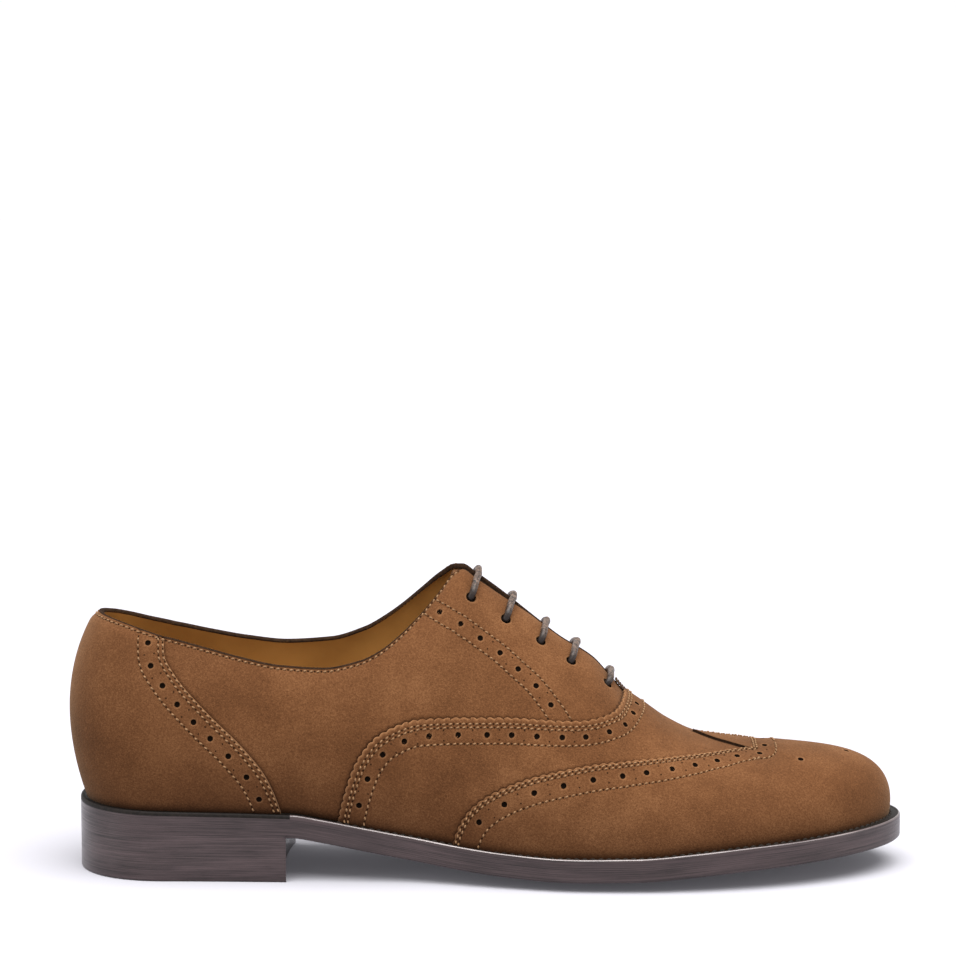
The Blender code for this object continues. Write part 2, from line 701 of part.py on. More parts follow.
def centre_on_origin(pieces):
    """Root empty that carries every piece, with the middle of their footprint at the origin."""
    bpy.context.view_layer.update()
    solids = [p for p in pieces if p.type == "MESH"]
    corners = np.array([c for p in solids for c in p.bound_box])
    middle = (corners.min(0) + corners.max(0)) / 2
    root = bpy.data.objects.new("shoe", None)
    root.location = (-middle[0], -middle[1], -corners[:, 2].min())
    bpy.context.collection.objects.link(root)
    for piece in pieces:
        piece.parent = root


def main():
    for obj in list(bpy.data.objects):
        bpy.data.objects.remove(obj)
    suede = new_material("suede", SUEDE_BROWN, SUEDE_ROUGHNESS)
    sole_leather = new_material("sole_leather", SOLE_BROWN, SOLE_ROUGHNESS)
    rubber = new_material("top_piece_rubber", SOLE_BROWN, RUBBER_ROUGHNESS)
    lining = new_material("lining_leather", LINING_TAN, LINING_ROUGHNESS)
    lace_cord = new_material("lace_cord", LACE_GREY_BROWN, LACE_ROUGHNESS)
    pieces = [make_upper(suede), *make_panels(suede), make_tongue(suede), make_insole(lining)]
    pieces += [make_outsole(sole_leather), make_welt(sole_leather)]
    pieces += make_heel(sole_leather, rubber)
    pieces += make_laces(lace_cord)
    centre_on_origin(pieces)


main()
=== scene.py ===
"""Finish of the right-foot suede brogue: skins, broguing, stitching, lacing, sole edge and studio.

Sizes are millimetres in the shoe's own frame: X from the back of the heel to the toe, +Y the inner side and
Z = 0 the floor. Meshes are written in metres with the middle of the footprint at the origin.

The upper is one function of two numbers, a station along one side from the back seam to the toe and a height
from the foot of the wall (0) to the top line or ridge (1). Every skin, seam, hole and stitch is placed on it.
"""

import math

import bmesh
import bpy
import numpy as np
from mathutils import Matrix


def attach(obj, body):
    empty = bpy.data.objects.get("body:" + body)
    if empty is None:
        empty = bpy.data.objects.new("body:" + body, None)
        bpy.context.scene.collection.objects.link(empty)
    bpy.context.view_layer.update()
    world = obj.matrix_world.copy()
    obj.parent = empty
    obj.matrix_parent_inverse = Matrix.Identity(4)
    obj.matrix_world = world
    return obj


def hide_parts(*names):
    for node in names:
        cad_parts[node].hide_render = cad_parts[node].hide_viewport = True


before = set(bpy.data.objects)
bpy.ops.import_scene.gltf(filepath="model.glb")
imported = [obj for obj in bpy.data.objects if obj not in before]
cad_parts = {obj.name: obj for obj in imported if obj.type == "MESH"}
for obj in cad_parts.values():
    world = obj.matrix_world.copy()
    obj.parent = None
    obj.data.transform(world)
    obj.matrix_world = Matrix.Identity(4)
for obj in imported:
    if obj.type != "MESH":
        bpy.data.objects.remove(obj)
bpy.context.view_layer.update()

MM = 0.001
LATERAL, MEDIAL = -1.0, 1.0
SIDES = (LATERAL, MEDIAL)
GAP = 0.3
FOOTPRINT_MIDDLE = np.array([150.662, -2.549, 0.0])

# Sole in plan and from the side
SOLE_LENGTH = 305.0
HEEL_AXIS_X = 34.0
BALL_AXIS_X = 205.0
RIDGE_END_X = 262.0
SPINE_Y = -2.4
HEEL_ROUNDNESS = 2.15
OUTER_TOE_ROUNDNESS, INNER_TOE_ROUNDNESS = 1.92, 2.12
SOLE_PLAN = (
    # x, centre line, half width
    (HEEL_AXIS_X, -1.8, 33.0),
    (78.0, -3.4, 32.8),
    (118.0, -5.6, 32.4),
    (158.0, -5.4, 42.2),
    (186.0, -3.6, 49.8),
    (BALL_AXIS_X, -2.5, 51.5),
)
SOLE_PROFILE = (
    # x, edge z, centre z
    (0.0, 17.8, 17.8),
    (40.0, 17.0, 17.0),
    (80.0, 16.2, 16.2),
    (92.0, 14.4, 14.1),
    (107.0, 11.6, 10.5),
    (124.0, 8.5, 6.9),
    (140.0, 6.1, 4.0),
    (157.0, 4.5, 1.6),
    (177.0, 3.6, 0.0),
    (205.0, 4.0, 0.0),
    (227.0, 5.6, 2.2),
    (245.0, 7.0, 4.0),
    (264.0, 8.0, 5.7),
    (284.0, 9.2, 7.8),
    (SOLE_LENGTH, 10.4, 10.4),
)
FLAT_SHARE = 0.3
OUTSOLE_THICKNESS, WELT_THICKNESS, INSOLE_THICKNESS = 5.4, 2.9, 4.0
WELT_LAP = 3.5
BREAST_X, BREAST_HOLLOW = 78.0, 2.0
TOP_PIECE_THICKNESS, LIFT_THICKNESS = 6.0, 4.9
SOLE_RISE = 17.0

# Upper
WALL_THICKNESS, PANEL_THICKNESS = 2.0, 0.9
FIRST_LAP = GAP + PANEL_THICKNESS
SECOND_LAP = 2 * FIRST_LAP
FACING_GAP, FACING_GAP_LOW = 2.2, 0.8
THROAT_X = 202.0
HEEL_SPAN = 60.0
BALL_STATION = HEEL_SPAN + BALL_AXIS_X - HEEL_AXIS_X
TOE_SPAN = (RIDGE_END_X - BALL_AXIS_X) * math.pi / 2
TOE_STATION = BALL_STATION + TOE_SPAN
STATION_STEP, HEIGHT_STEP, RIDGE_STEP = 0.4, 0.004, 1.0
TABLE_SPACING, LINE_SPACING, WALK_STEP = 1.0, 0.8, 0.7


def side_station(x):
    """Station of the rib that crosses the shoe at x, between the heel and the ball."""
    return HEEL_SPAN + x - HEEL_AXIS_X


def ridge_station(x):
    """Station of the toe rib that starts on the ridge at x."""
    share = (x - BALL_AXIS_X) / (RIDGE_END_X - BALL_AXIS_X)
    return BALL_STATION + TOE_SPAN * math.asin(share) / (math.pi / 2)


THROAT_STATION = side_station(THROAT_X)
TOP_LINE = (
    # station, distance from the rib's base, z on the outer side, z on the inner side
    (0.0, 26.4, 95.0, 95.0),
    (15.0, 25.4, 94.6, 93.8),
    (30.0, 24.2, 93.5, 91.8),
    (45.0, 23.0, 91.3, 89.4),
    (HEEL_SPAN, 22.8, 88.5, 87.1),
    (side_station(47.0), 24.6, 85.3, 84.1),
    (side_station(61.0), 27.0, 81.9, 81.2),
    (side_station(76.0), 29.3, 79.1, 79.3),
    (side_station(92.0), 29.8, 78.2, 80.2),
    (side_station(105.0), 28.2, 80.6, 84.4),
    (side_station(112.0), 26.2, 83.8, 88.6),
    (side_station(119.0), 22.8, 88.9, 94.0),
    (side_station(126.5), 17.0, 95.8, 101.0),
    (side_station(133.7), 9.4, 103.4, 108.0),
    (side_station(139.0), 4.0, 109.4, 111.7),
    (side_station(142.0), FACING_GAP, 110.6, 112.0),
    (side_station(147.0), 2.0, 107.3, 108.9),
    (side_station(156.0), 1.6, 101.1, 102.5),
    (side_station(166.0), 1.0, 94.3, 94.6),
    (side_station(178.0), FACING_GAP_LOW, 85.2, 85.2),
    (side_station(190.0), FACING_GAP_LOW, 77.6, 77.6),
    (side_station(197.0), FACING_GAP_LOW, 70.0, 70.0),
    (THROAT_STATION, 0.0, 64.2, 64.2),
    (ridge_station(208.5), 0.0, 59.4, 59.4),
    (ridge_station(217.0), 0.0, 53.2, 53.2),
    (ridge_station(226.0), 0.0, 48.6, 48.6),
    (ridge_station(236.0), 0.0, 45.6, 45.6),
    (ridge_station(248.0), 0.0, 43.8, 43.8),
    (TOE_STATION, 0.0, 42.9, 42.9),
)
UPPER_SECTIONS = (
    # station, inset from the sole's edge, belly out, belly up, shoulder out, shoulder down
    (0.0, 3.4, 6.4, 17.5, 15.0, 23.3),
    (HEEL_SPAN, 2.8, 6.0, 16.0, 12.0, 22.0),
    (side_station(65.0), 2.6, 6.4, 14.0, 9.0, 18.0),
    (side_station(92.0), 2.6, 6.6, 14.0, 8.0, 17.0),
    (side_station(119.0), 3.4, 8.0, 18.0, 12.0, 16.0),
    (side_station(140.0), 4.6, 8.0, 30.0, 17.0, 5.0),
    (side_station(167.0), 5.6, 7.0, 28.0, 20.0, 2.0),
    (side_station(193.0), 6.0, 5.5, 20.0, 24.0, 0.5),
    (BALL_STATION, 6.2, 5.0, 18.0, 26.0, 0.0),
    (ridge_station(228.0), 6.4, 4.0, 16.0, 26.0, 0.0),
    (TOE_STATION, 6.6, 3.6, 19.0, 24.0, -0.4),
)

# Panel lines in side view, from the sole up
COUNTER_LINE = (
    # x, z
    (77.5, 20.0),
    (75.4, 28.7),
    (71.1, 39.2),
    (63.2, 49.6),
    (49.6, 63.0),
    (37.8, 76.2),
    (34.2, 83.2),
    (33.6, 100.0),
)
VAMP_LINE = (
    # x, z
    (95.5, 10.0),
    (97.1, 24.0),
    (99.8, 35.1),
    (104.1, 46.1),
    (112.3, 55.3),
    (126.9, 60.3),
    (155.8, 61.0),
    (184.3, 59.4),
    (196.6, 61.1),
    (202.2, 66.0),
    (203.5, 75.0),
)
WING_LINE = (
    # x, z
    (137.0, 8.0),
    (139.4, 18.7),
    (144.1, 27.6),
    (155.4, 36.0),
    (173.7, 42.3),
    (195.2, 45.5),
    (217.2, 45.9),
    (233.0, 45.7),
    (245.8, 45.6),
)
WING_PEAK_X, WING_VALLEY_X, WING_VALLEY_HALF, CORNER_CLEAR = 227.6, 248.4, 9.8, 1.5
FACING_LINE = (
    # x, z: the row of holes behind the eyelets
    (128.0, 99.8),
    (132.8, 97.3),
    (140.8, 93.1),
    (148.3, 88.0),
    (155.8, 82.7),
    (162.5, 76.8),
    (168.3, 71.7),
    (174.0, 64.8),
    (178.8, 58.0),
)

# Broguing: distances are from the panel's edge into the panel
BROGUE_ROWS = {
    # panel: stitch rows, row of holes, run along that row from the sole or collar to each hole
    "counter": ((0.75, 2.4, 9.6), 6.0, (6.2, 15.7, 25.7, 34.8, 43.2, 51.9, 60.6, 69.0, 77.6)),
    "vamp": (
        (2.4, 3.7, 9.55), 6.35,
        (8.5, 18.9, 29.3, 38.4, 47.7, 58.3, 68.9, 77.7, 86.8, 95.9, 104.5, 113.8, 122.5, 131.6, 140.3),
    ),
    "wing": (
        (1.15, 2.2, 9.5), 5.45,
        (11.2, 22.5, 34.0, 44.6, 55.2, 65.7, 75.0, 84.9, 94.5, 104.3, 113.9, 125.0, 133.8, 142.6),
    ),
    "facing": ((-3.4, 3.9), 0.0, (5.2, 14.2, 23.1, 32.1, 41.0, 50.0, 58.9, 67.9)),
}
SCALLOP_PITCH, SCALLOP_REACH, COUNTER_TRIM = 3.1, 0.65, 0.25
HOLE_RADIUS, HOLE_DEPTH = 0.95, 0.55
# Painted highlight ring round each hole: strength, place as a share of the radius, width
HOLE_HIGHLIGHT, HOLE_HIGHLIGHT_PLACE, HOLE_HIGHLIGHT_WIDTH = 0.45, 1.3, 0.3
PINPRICK_RADIUS, PINPRICK_SPREAD = 0.3, 1.8
# Sides round a hole and rings of its cup: share of the radius, height over the suede
HOLE_CUP = (18, ((0.0, -0.45), (0.6, -0.42), (0.92, -0.22), (1.08, -0.07)))
EYELET_CUP = (20, ((0.0, -0.8), (0.7, -0.7), (1.0, -0.25), (1.12, 0.02)))
PINPRICK_CUP = (7, ((0.0, 0.06), (1.0, 0.05)))
NEEDLE_CUP = (6, ((0.0, -0.02), (1.0, -0.03)))
STITCH_PITCH, STITCH_LENGTH, STITCH_RADIUS = 2.4, 1.35, 0.34
STITCH_GROOVE, STITCH_GROOVE_WIDTH, STITCH_SLANT = 0.2, 0.5, 18.0
STITCH_SIDES = 6
STITCH_FORM = (
    # rings of a stitch: place along its half, girth, lift, the last two as shares of its radius
    (-1.0, 0.25, -1.0),
    (-0.62, 0.9, 0.1),
    (0.0, 1.0, 0.35),
    (0.62, 0.9, 0.1),
    (1.0, 0.25, -1.0),
)
STITCH_TIPS = (
    # ring of a stitch, the corners of the two faces that close it
    (0, ((3, 2, 1, 0), (5, 4, 3, 0))),
    (-1, ((0, 1, 2, 3), (0, 3, 4, 5))),
)
STITCH_SINK, NEEDLE_HOLE_RADIUS = 0.02, 0.38
WELT_STITCH_BACK_X, WELT_STITCH_PITCH, WELT_STITCH_LENGTH = 96.0, 2.9, 2.5
WELT_STITCH_RADIUS, WELT_STITCH_SINK = 0.48, 0.1
TOP_ROW_DROP, TOP_ROW_FRONT_X, TOP_ROW_GROOVE_X = 1.3, 140.5, 141.0
TOP_LINE_BEAD = (
    # out from the wall and up past the top line
    (0.02, -0.5), (0.0, 0.0), (-0.35, 0.3), (-1.0, 0.42), (-1.65, 0.3), (-2.0, 0.0), (-2.02, -0.5),
)
PARED_BAND, FACING_BAND = 5.0, 60.0
LIP_WIDTH, RIM_TUCK, SOFT_DROP, SOFT_WIDTH = 0.55, 0.05, 0.25, 0.4
SHADE_WIDTH, SHADE_REACH, COUNTER_SHADE, PEAK_SHADE_WIDTH = 0.75, 0.6, 0.6, 0.6
# Painted shade: darker low on the suede's sides and round the seat, less so at the toe, and in the crease at
# the upper's foot
LOW_SHADE_RISE, LOW_SHADE_SEAT, LOW_SHADE_SEAT_SHARE, CREASE_SHADE_RISE = 44.0, 75.0, 0.5, 2.5
LOW_SHADE_TOE_X, LOW_SHADE_TOE_RUN, LOW_SHADE_TOE_SHARE = 255.0, 45.0, 0.6
MEDALLION = (
    # x, y from the spine: the large holes on top of the toe
    (284.5, 0.0),
    (266.1, -16.4),
    (266.1, 16.4),
)

# Tongue and lacing
TONGUE_BACK_X, TONGUE_FRONT_X = 137.0, 214.0
TONGUE_LOW, TONGUE_THICKNESS = 0.7, 1.5
EYELETS = (
    # x, height up the wall, how far the lace leans forward at the ridge
    (145.2, 0.82, 1.9),
    (158.0, 0.82, 2.0),
    (170.8, 0.82, 1.4),
    (181.9, 0.82, 1.8),
    (195.4, 0.86, 0.4),
)
EYELET_RADIUS, EYELET_DEPTH = 1.7, 1.2
LACE_RADIUS, LACE_RINGS, LACE_SIDES, LACE_CROWN = 1.3, 110, 16, 0.35
# Painted shade at each end of a lace where it goes into its eyelet: dark share, then the run to full light
LACE_DARK_END, LACE_LIGHT_RUN = 0.10, 0.16
LACE_COURSE = (
    # share of the way from the eyelet to the ridge, height over the wall
    (0.0, -3.0), (0.0, -1.6), (0.02, -0.2), (0.10, 0.95), (0.24, 1.40),
    (0.42, 1.42), (0.62, 1.40), (0.82, 1.42), (0.97, 1.55),
)
TACK_X, TACK_PITCH, TACK_STRANDS, TACK_RINGS, TACK_SIDES = 198.6, 0.75, 5, 24, 8
TACK_HEIGHT, TACK_RADIUS, TACK_LIFT, TACK_CROWN, TACK_FLANK = 0.965, 0.42, 0.5, 0.9, 0.35

# Soft folds of the suede
FOLDS = (
    # x, z, run along x, run along z, width, depth (a ridge is negative)
    (150.0, 74.0, 6.0, 18.0, 7.0, 0.32),
    (120.0, 70.0, 10.0, 14.0, 8.0, 0.28),
    (58.0, 60.0, 16.0, 8.0, 9.0, 0.25),
    (84.0, 56.0, 9.0, 12.0, 9.0, -0.22),
    (188.0, 54.0, 5.0, 5.0, 6.0, 0.30),
    (204.0, 50.0, 5.0, 7.0, 6.0, 0.26),
    (168.0, 52.0, 12.0, 2.0, 6.0, 0.24),
    (128.0, 40.0, 9.0, 10.0, 9.0, -0.20),
)

# Density of the skins
HEEL_COLUMNS, SIDE_COLUMNS, TOE_COLUMNS, SKIN_ROWS = 110, 360, 200, 180
SEARCH_CHUNK = 4000
SEARCH_STATIONS, SEARCH_HEIGHTS, SEARCH_STEPS = 240, 70, 10
FAR = 1000.0
HIDDEN_LAP = 3.0
SNAP = 0.28
SNAP_MOST = 0.75
JOIN = 1e-7
SHARP_ANGLE, HEEL_EASE = math.radians(50), 0.55

# Colours, linear
SUEDE_DARK = (0.0515, 0.0205, 0.0078, 1.0)
SUEDE_MID = (0.0955, 0.0391, 0.0151, 1.0)
SUEDE_LIGHT = (0.156, 0.0705, 0.0292, 1.0)
# Paler lip of a cut edge: partly its own colour, partly a painted highlight
SUEDE_LIP = (0.235, 0.116, 0.052, 1.0)
SUEDE_SHEEN = (0.95, 0.66, 0.42, 1.0)
# Painted shade tints: low on the sides and round the seat, then under laps and in the crease
LOW_SHADE_TINT = (0.31, 0.285, 0.310, 1.0)
SHADE_TINT = (0.24, 0.21, 0.20, 1.0)
CUT_EDGE = (0.013, 0.0066, 0.0036, 1.0)
CUT_FIBRE = (0.030, 0.016, 0.009, 1.0)
THREAD_TAN = (0.240, 0.138, 0.068, 1.0)
THREAD_DEEP = (0.120, 0.060, 0.026, 1.0)
TACK_BROWN = (0.060, 0.032, 0.018, 1.0)
TACK_DEEP = (0.020, 0.011, 0.007, 1.0)
# Dark cups of holes and needle holes: painted shade of their depth
NEEDLE_HOLE_SHADE = (0.0200, 0.0092, 0.0046, 1.0)
HOLE_SHADE = (0.0042, 0.0026, 0.0018, 1.0)
LINING_TAN = (0.36, 0.172, 0.042, 1.0)
LINING_DEEP = (0.275, 0.125, 0.028, 1.0)
SOLE_DARK = (0.0090, 0.0052, 0.0052, 1.0)
SOLE_STREAK = (0.056, 0.037, 0.038, 1.0)
HEEL_STREAK = (0.066, 0.044, 0.045, 1.0)
TREAD_SCUFF = (0.026, 0.017, 0.014, 1.0)
# Painted highlight line on the welt's bevel, and its fades: turned down towards the heel and towards the toe
BEVEL_HIGHLIGHT = (0.36, 0.32, 0.31, 1.0)
BEVEL_HIGHLIGHT_FADES = ((-0.066, -0.040, 0.8, 1.0), (0.046, 0.101, 1.0, 0.8))
WELT_BLACK = (0.0045, 0.0032, 0.0026, 1.0)
WELT_GRAIN = (0.012, 0.0085, 0.0065, 1.0)
WELT_THREAD = (0.020, 0.014, 0.010, 1.0)
LACE_DARK = (0.0120, 0.0075, 0.0060, 1.0)
LACE_PALE = (0.135, 0.088, 0.064, 1.0)
FLOOR_WHITE = (0.36, 0.355, 0.380, 1.0)
# Faint glow of the floor: painted light that lifts its shadows and tints them
FLOOR_GLOW = (0.92, 0.89, 1.0, 1.0)

# Finishes by table
THREAD = (0.7, 0.15, (2200.0, 1.0))
GRAINED = {
    # name, base, roughness, shine, noise and stops of the colour, then noise, strength and depth of a bump
    "rim": (
        "cut_leather_edge", CUT_EDGE, 0.85, 0.03, (900.0, 2.0), ((0.3, CUT_EDGE), (0.75, CUT_FIBRE)),
        ((900.0, 2.0), 0.3, 0.0002),
    ),
    "lining": (
        "lining_calf", LINING_TAN, 0.5, 0.3, (55.0, 3.0), ((0.3, LINING_DEEP), (0.7, LINING_TAN)),
        ((1300.0, 2.0), 0.18, 0.00015),
    ),
    "tread": (
        "dyed_tread", SOLE_DARK, 0.6, 0.25, (150.0, 5.0, 0.65), ((0.40, SOLE_DARK), (0.75, TREAD_SCUFF)),
        ((900.0, 2.0), 0.25, 0.0002),
    ),
    "welt": (
        "welt_top_dressing", WELT_BLACK, 0.6, 0.15, (700.0, 3.0), ((0.35, WELT_BLACK), (0.8, WELT_GRAIN)),
        ((700.0, 3.0), 0.3, 0.0003),
    ),
    "thread": ("tan_thread", THREAD_TAN, *THREAD, ((0.3, THREAD_DEEP), (0.65, THREAD_TAN))),
    "welt_thread": ("waxed_black_thread", WELT_THREAD, *THREAD, ((0.3, WELT_BLACK), (0.65, WELT_THREAD))),
    "tack": ("brown_tack_thread", TACK_BROWN, *THREAD, ((0.3, TACK_DEEP), (0.65, TACK_BROWN))),
}
POLISHED = {
    # name, dark and pale streaks, roughness, coat, fades along the shoe; the bevel's pale streaks are a
    # painted highlight
    "edge": ("inked_sole_edge", SOLE_DARK, SOLE_STREAK, 0.36, 0.15, ()),
    "heel": ("inked_heel", SOLE_DARK, HEEL_STREAK, 0.34, 0.2, ()),
    "bevel": ("polished_welt_bevel", SOLE_STREAK, BEVEL_HIGHLIGHT, 0.2, 0.6, BEVEL_HIGHLIGHT_FADES),
}
# Dark finishes of holes, eyelets, pinpricks and needle holes: painted shade
PUNCHED = {"punch": ("punched_hole", HOLE_SHADE), "needle": ("needle_hole", NEEDLE_HOLE_SHADE)}

# Studio, in metres and degrees
FLOOR_REACH, WORLD_STRENGTH = 6.0, 1.02
SUN_FROM, SUN_SPREAD, SUN_STRENGTH = (0.08, -0.28, 1.0), 65.0, 6.4
LIGHT_PANELS = (
    # name, place, tilt and turn, width and height, power
    ("heel_strip", (-1.15, -0.45, 0.34), (82.0, -68.0), (0.22, 0.62), 3.2),
    ("toe_fill", (1.1, -0.35, 0.2), (80.0, 70.0), (0.5, 0.36), 2.0),
)
CAMERA_PLACE, CAMERA_DOWN = (-0.00296, -1.24745, 0.288), 6.5846
SENSOR_WIDTH, LENS = 36.0, 128.45


def unit(vectors):
    """The same vectors with a length of one."""
    return vectors / np.linalg.norm(vectors, axis=-1, keepdims=True)


def circle(first, second, sides):
    """Points of a round about each place, as steps in the two directions given."""
    turn = np.arange(sides)[:, None] * 2 * math.pi / sides
    return first[:, None] * np.cos(turn) + second[:, None] * np.sin(turn)


def once_round(outer, inner):
    """Columns of the outer side and then of the inner side back to the start, without the shared two."""
    return np.concatenate([outer, inner[-2:0:-1]])


def stretches(*parts):
    """Even numbers in stretches, each given by its start, end and count and joined to the one before."""
    first, *others = (np.linspace(*part) for part in parts)
    return np.concatenate([first, *(other[1:] for other in others)])


def smooth(at, rows, column, level_ends=False):
    """Smooth curve through one column of a table: cubics whose slopes are harmonic means of the chords."""
    knots = np.array([row[0] for row in rows])
    values = np.array([row[column] for row in rows])
    step = np.diff(knots)
    chord = np.diff(values) / step
    slope = np.zeros(len(values))
    turning = chord[:-1] * chord[1:] > 0
    total = np.where(turning, chord[:-1] + chord[1:], 1.0)
    slope[1:-1] = np.where(turning, 2 * chord[:-1] * chord[1:] / total, 0.0)
    if not level_ends:
        slope[0], slope[-1] = chord[0], chord[-1]
    at = np.clip(np.asarray(at, float), knots[0], knots[-1])
    i = np.clip(np.searchsorted(knots, at, side="right") - 1, 0, len(step) - 1)
    t = (at - knots[i]) / step[i]
    return (
        values[i] * (1 + 2 * t) * (1 - t) ** 2
        + slope[i] * step[i] * t * (1 - t) ** 2
        + values[i + 1] * t * t * (3 - 2 * t)
        + slope[i + 1] * step[i] * t * t * (t - 1)
    )


def plan(station, side):
    """Base of the rib on the shoe's centre line, and the sole's edge straight out from it, in plan."""
    station = np.asarray(station, float)
    heel = station < HEEL_SPAN
    toe = station > BALL_STATION
    share = np.where(heel, station / HEEL_SPAN, np.where(toe, (station - BALL_STATION) / TOE_SPAN, 0.0))
    turn = share * math.pi / 2
    along, across = np.sin(turn).clip(0), np.cos(turn).clip(0)
    x = HEEL_AXIS_X + station - HEEL_SPAN
    x = np.where(heel, HEEL_AXIS_X * (1 - across ** (2 / HEEL_ROUNDNESS)), x)
    toe_power = 2 / (OUTER_TOE_ROUNDNESS if side == LATERAL else INNER_TOE_ROUNDNESS)
    x = np.where(toe, BALL_AXIS_X + (SOLE_LENGTH - BALL_AXIS_X) * along**toe_power, x)
    taper = np.where(heel, along ** (2 / HEEL_ROUNDNESS), 1.0)
    taper = np.where(toe, across**toe_power, taper)
    x_side = np.clip(x, HEEL_AXIS_X, BALL_AXIS_X)
    centre = smooth(x_side, SOLE_PLAN, 1, level_ends=True)
    half = smooth(x_side, SOLE_PLAN, 2, level_ends=True)
    edge = np.stack([x, taper * (centre + side * half)], -1)
    ridge_reach = RIDGE_END_X - BALL_AXIS_X
    base_x = np.where(toe, BALL_AXIS_X + ridge_reach * along, np.clip(x, HEEL_AXIS_X, None))
    return np.stack([base_x, np.full_like(base_x, SPINE_Y)], -1), edge


def rib(station, side):
    """Base point, outward direction and length of a rib in plan, from the centre line to the sole's edge."""
    base, edge = plan(station, side)
    reach = np.linalg.norm(edge - base, axis=-1)
    return base, (edge - base) / reach[..., None], reach


def sole_under(x, share):
    """Height of the outsole's underside: level across the middle, then rising as a square to the edge."""
    edge = smooth(x, SOLE_PROFILE, 1)
    centre = smooth(x, SOLE_PROFILE, 2)
    rise = np.clip((share - FLAT_SHARE) / (1 - FLAT_SHARE), 0, None) ** 2
    return centre + (edge - centre) * rise


def on_sole(station, side, distance, height):
    """Point at a distance out along a rib and a height above the outsole's underside."""
    base, out, reach = rib(station, side)
    flat = base + out * np.asarray(distance)[..., None]
    z = sole_under(flat[..., 0], distance / reach) + height
    return np.concatenate([flat, z[..., None]], -1)


def foot_distance(station, side):
    """How far out along a rib the foot of the upper's wall stands."""
    return rib(station, side)[2] - smooth(station, UPPER_SECTIONS, 1, level_ends=True)


def top_height(station, side):
    """Height of the top line on one side."""
    return smooth(station, TOP_LINE, 2 if side == LATERAL else 3, level_ends=True)


def ridge_slope(station, side):
    """Rise of the top line for each millimetre towards the toe."""
    ahead = np.clip(station + RIDGE_STEP, 0, TOE_STATION)
    behind = np.clip(station - RIDGE_STEP, 0, TOE_STATION)
    run = plan(ahead, side)[0][..., 0] - plan(behind, side)[0][..., 0]
    rise = top_height(ahead, side) - top_height(behind, side)
    return rise / np.where(run > MM, run, RIDGE_STEP)


def wall(station, height, side):
    """Outside of quarters and lining: a cubic rib from the foot past belly and shoulder to the top."""
    base, out, _ = rib(station, side)
    foot_r = foot_distance(station, side)
    stack = OUTSOLE_THICKNESS + GAP + WELT_THICKNESS + GAP
    foot_z = on_sole(station, side, foot_r, stack)[..., 2]
    belly_out, belly_up, shoulder_out, shoulder_down = (
        smooth(station, UPPER_SECTIONS, column, level_ends=True) for column in (2, 3, 4, 5)
    )
    top_r = smooth(station, TOP_LINE, 1, level_ends=True)
    top_z = top_height(station, side)
    on_toe = np.asarray(station) > BALL_STATION
    tilt = np.where(on_toe, ridge_slope(station, side) * out[..., 0], 0.0)
    shoulder_z = top_z - shoulder_down + tilt * shoulder_out
    h = np.asarray(height)
    weights = ((1 - h) ** 3, 3 * (1 - h) ** 2 * h, 3 * (1 - h) * h**2, h**3)
    r = sum(w * v for w, v in zip(weights, (foot_r, foot_r + belly_out, top_r + shoulder_out, top_r)))
    z = sum(w * v for w, v in zip(weights, (foot_z, foot_z + belly_up, shoulder_z, top_z)))
    return np.concatenate([base + out * r[..., None], z[..., None]], -1)


def wall_frame(station, height, side):
    """Point of the wall, its outward normal and its slopes for a step of station and of height."""
    station, height = np.asarray(station, float), np.asarray(height, float)
    ahead = np.clip(station + STATION_STEP, 0, TOE_STATION)
    behind = np.clip(station - STATION_STEP, 0, TOE_STATION)
    above, below = np.clip(height + HEIGHT_STEP, 0, 1), np.clip(height - HEIGHT_STEP, 0, 1)
    along = (wall(ahead, height, side) - wall(behind, height, side)) / (ahead - behind)[..., None]
    up = (wall(station, above, side) - wall(station, below, side)) / (above - below)[..., None]
    normal = np.cross(along, up) * -side
    on_seam = (station <= 0) | (station >= TOE_STATION)
    normal[..., 1] = np.where(on_seam, 0.0, normal[..., 1])
    on_ridge = (height >= 1) & (station >= THROAT_STATION)
    slope = ridge_slope(station, side) + np.zeros_like(normal[..., 0])
    ridge_normal = np.stack([-slope, np.zeros_like(slope), np.ones_like(slope)], -1)
    normal = np.where(on_ridge[..., None], ridge_normal, normal)
    return wall(station, height, side), unit(normal), along, up


def wall_offset(station, height, side, offset):
    """Point of the wall moved outwards, square to the surface, by offset."""
    point, normal, _, _ = wall_frame(station, height, side)
    return point + normal * np.asarray(offset)[..., None]


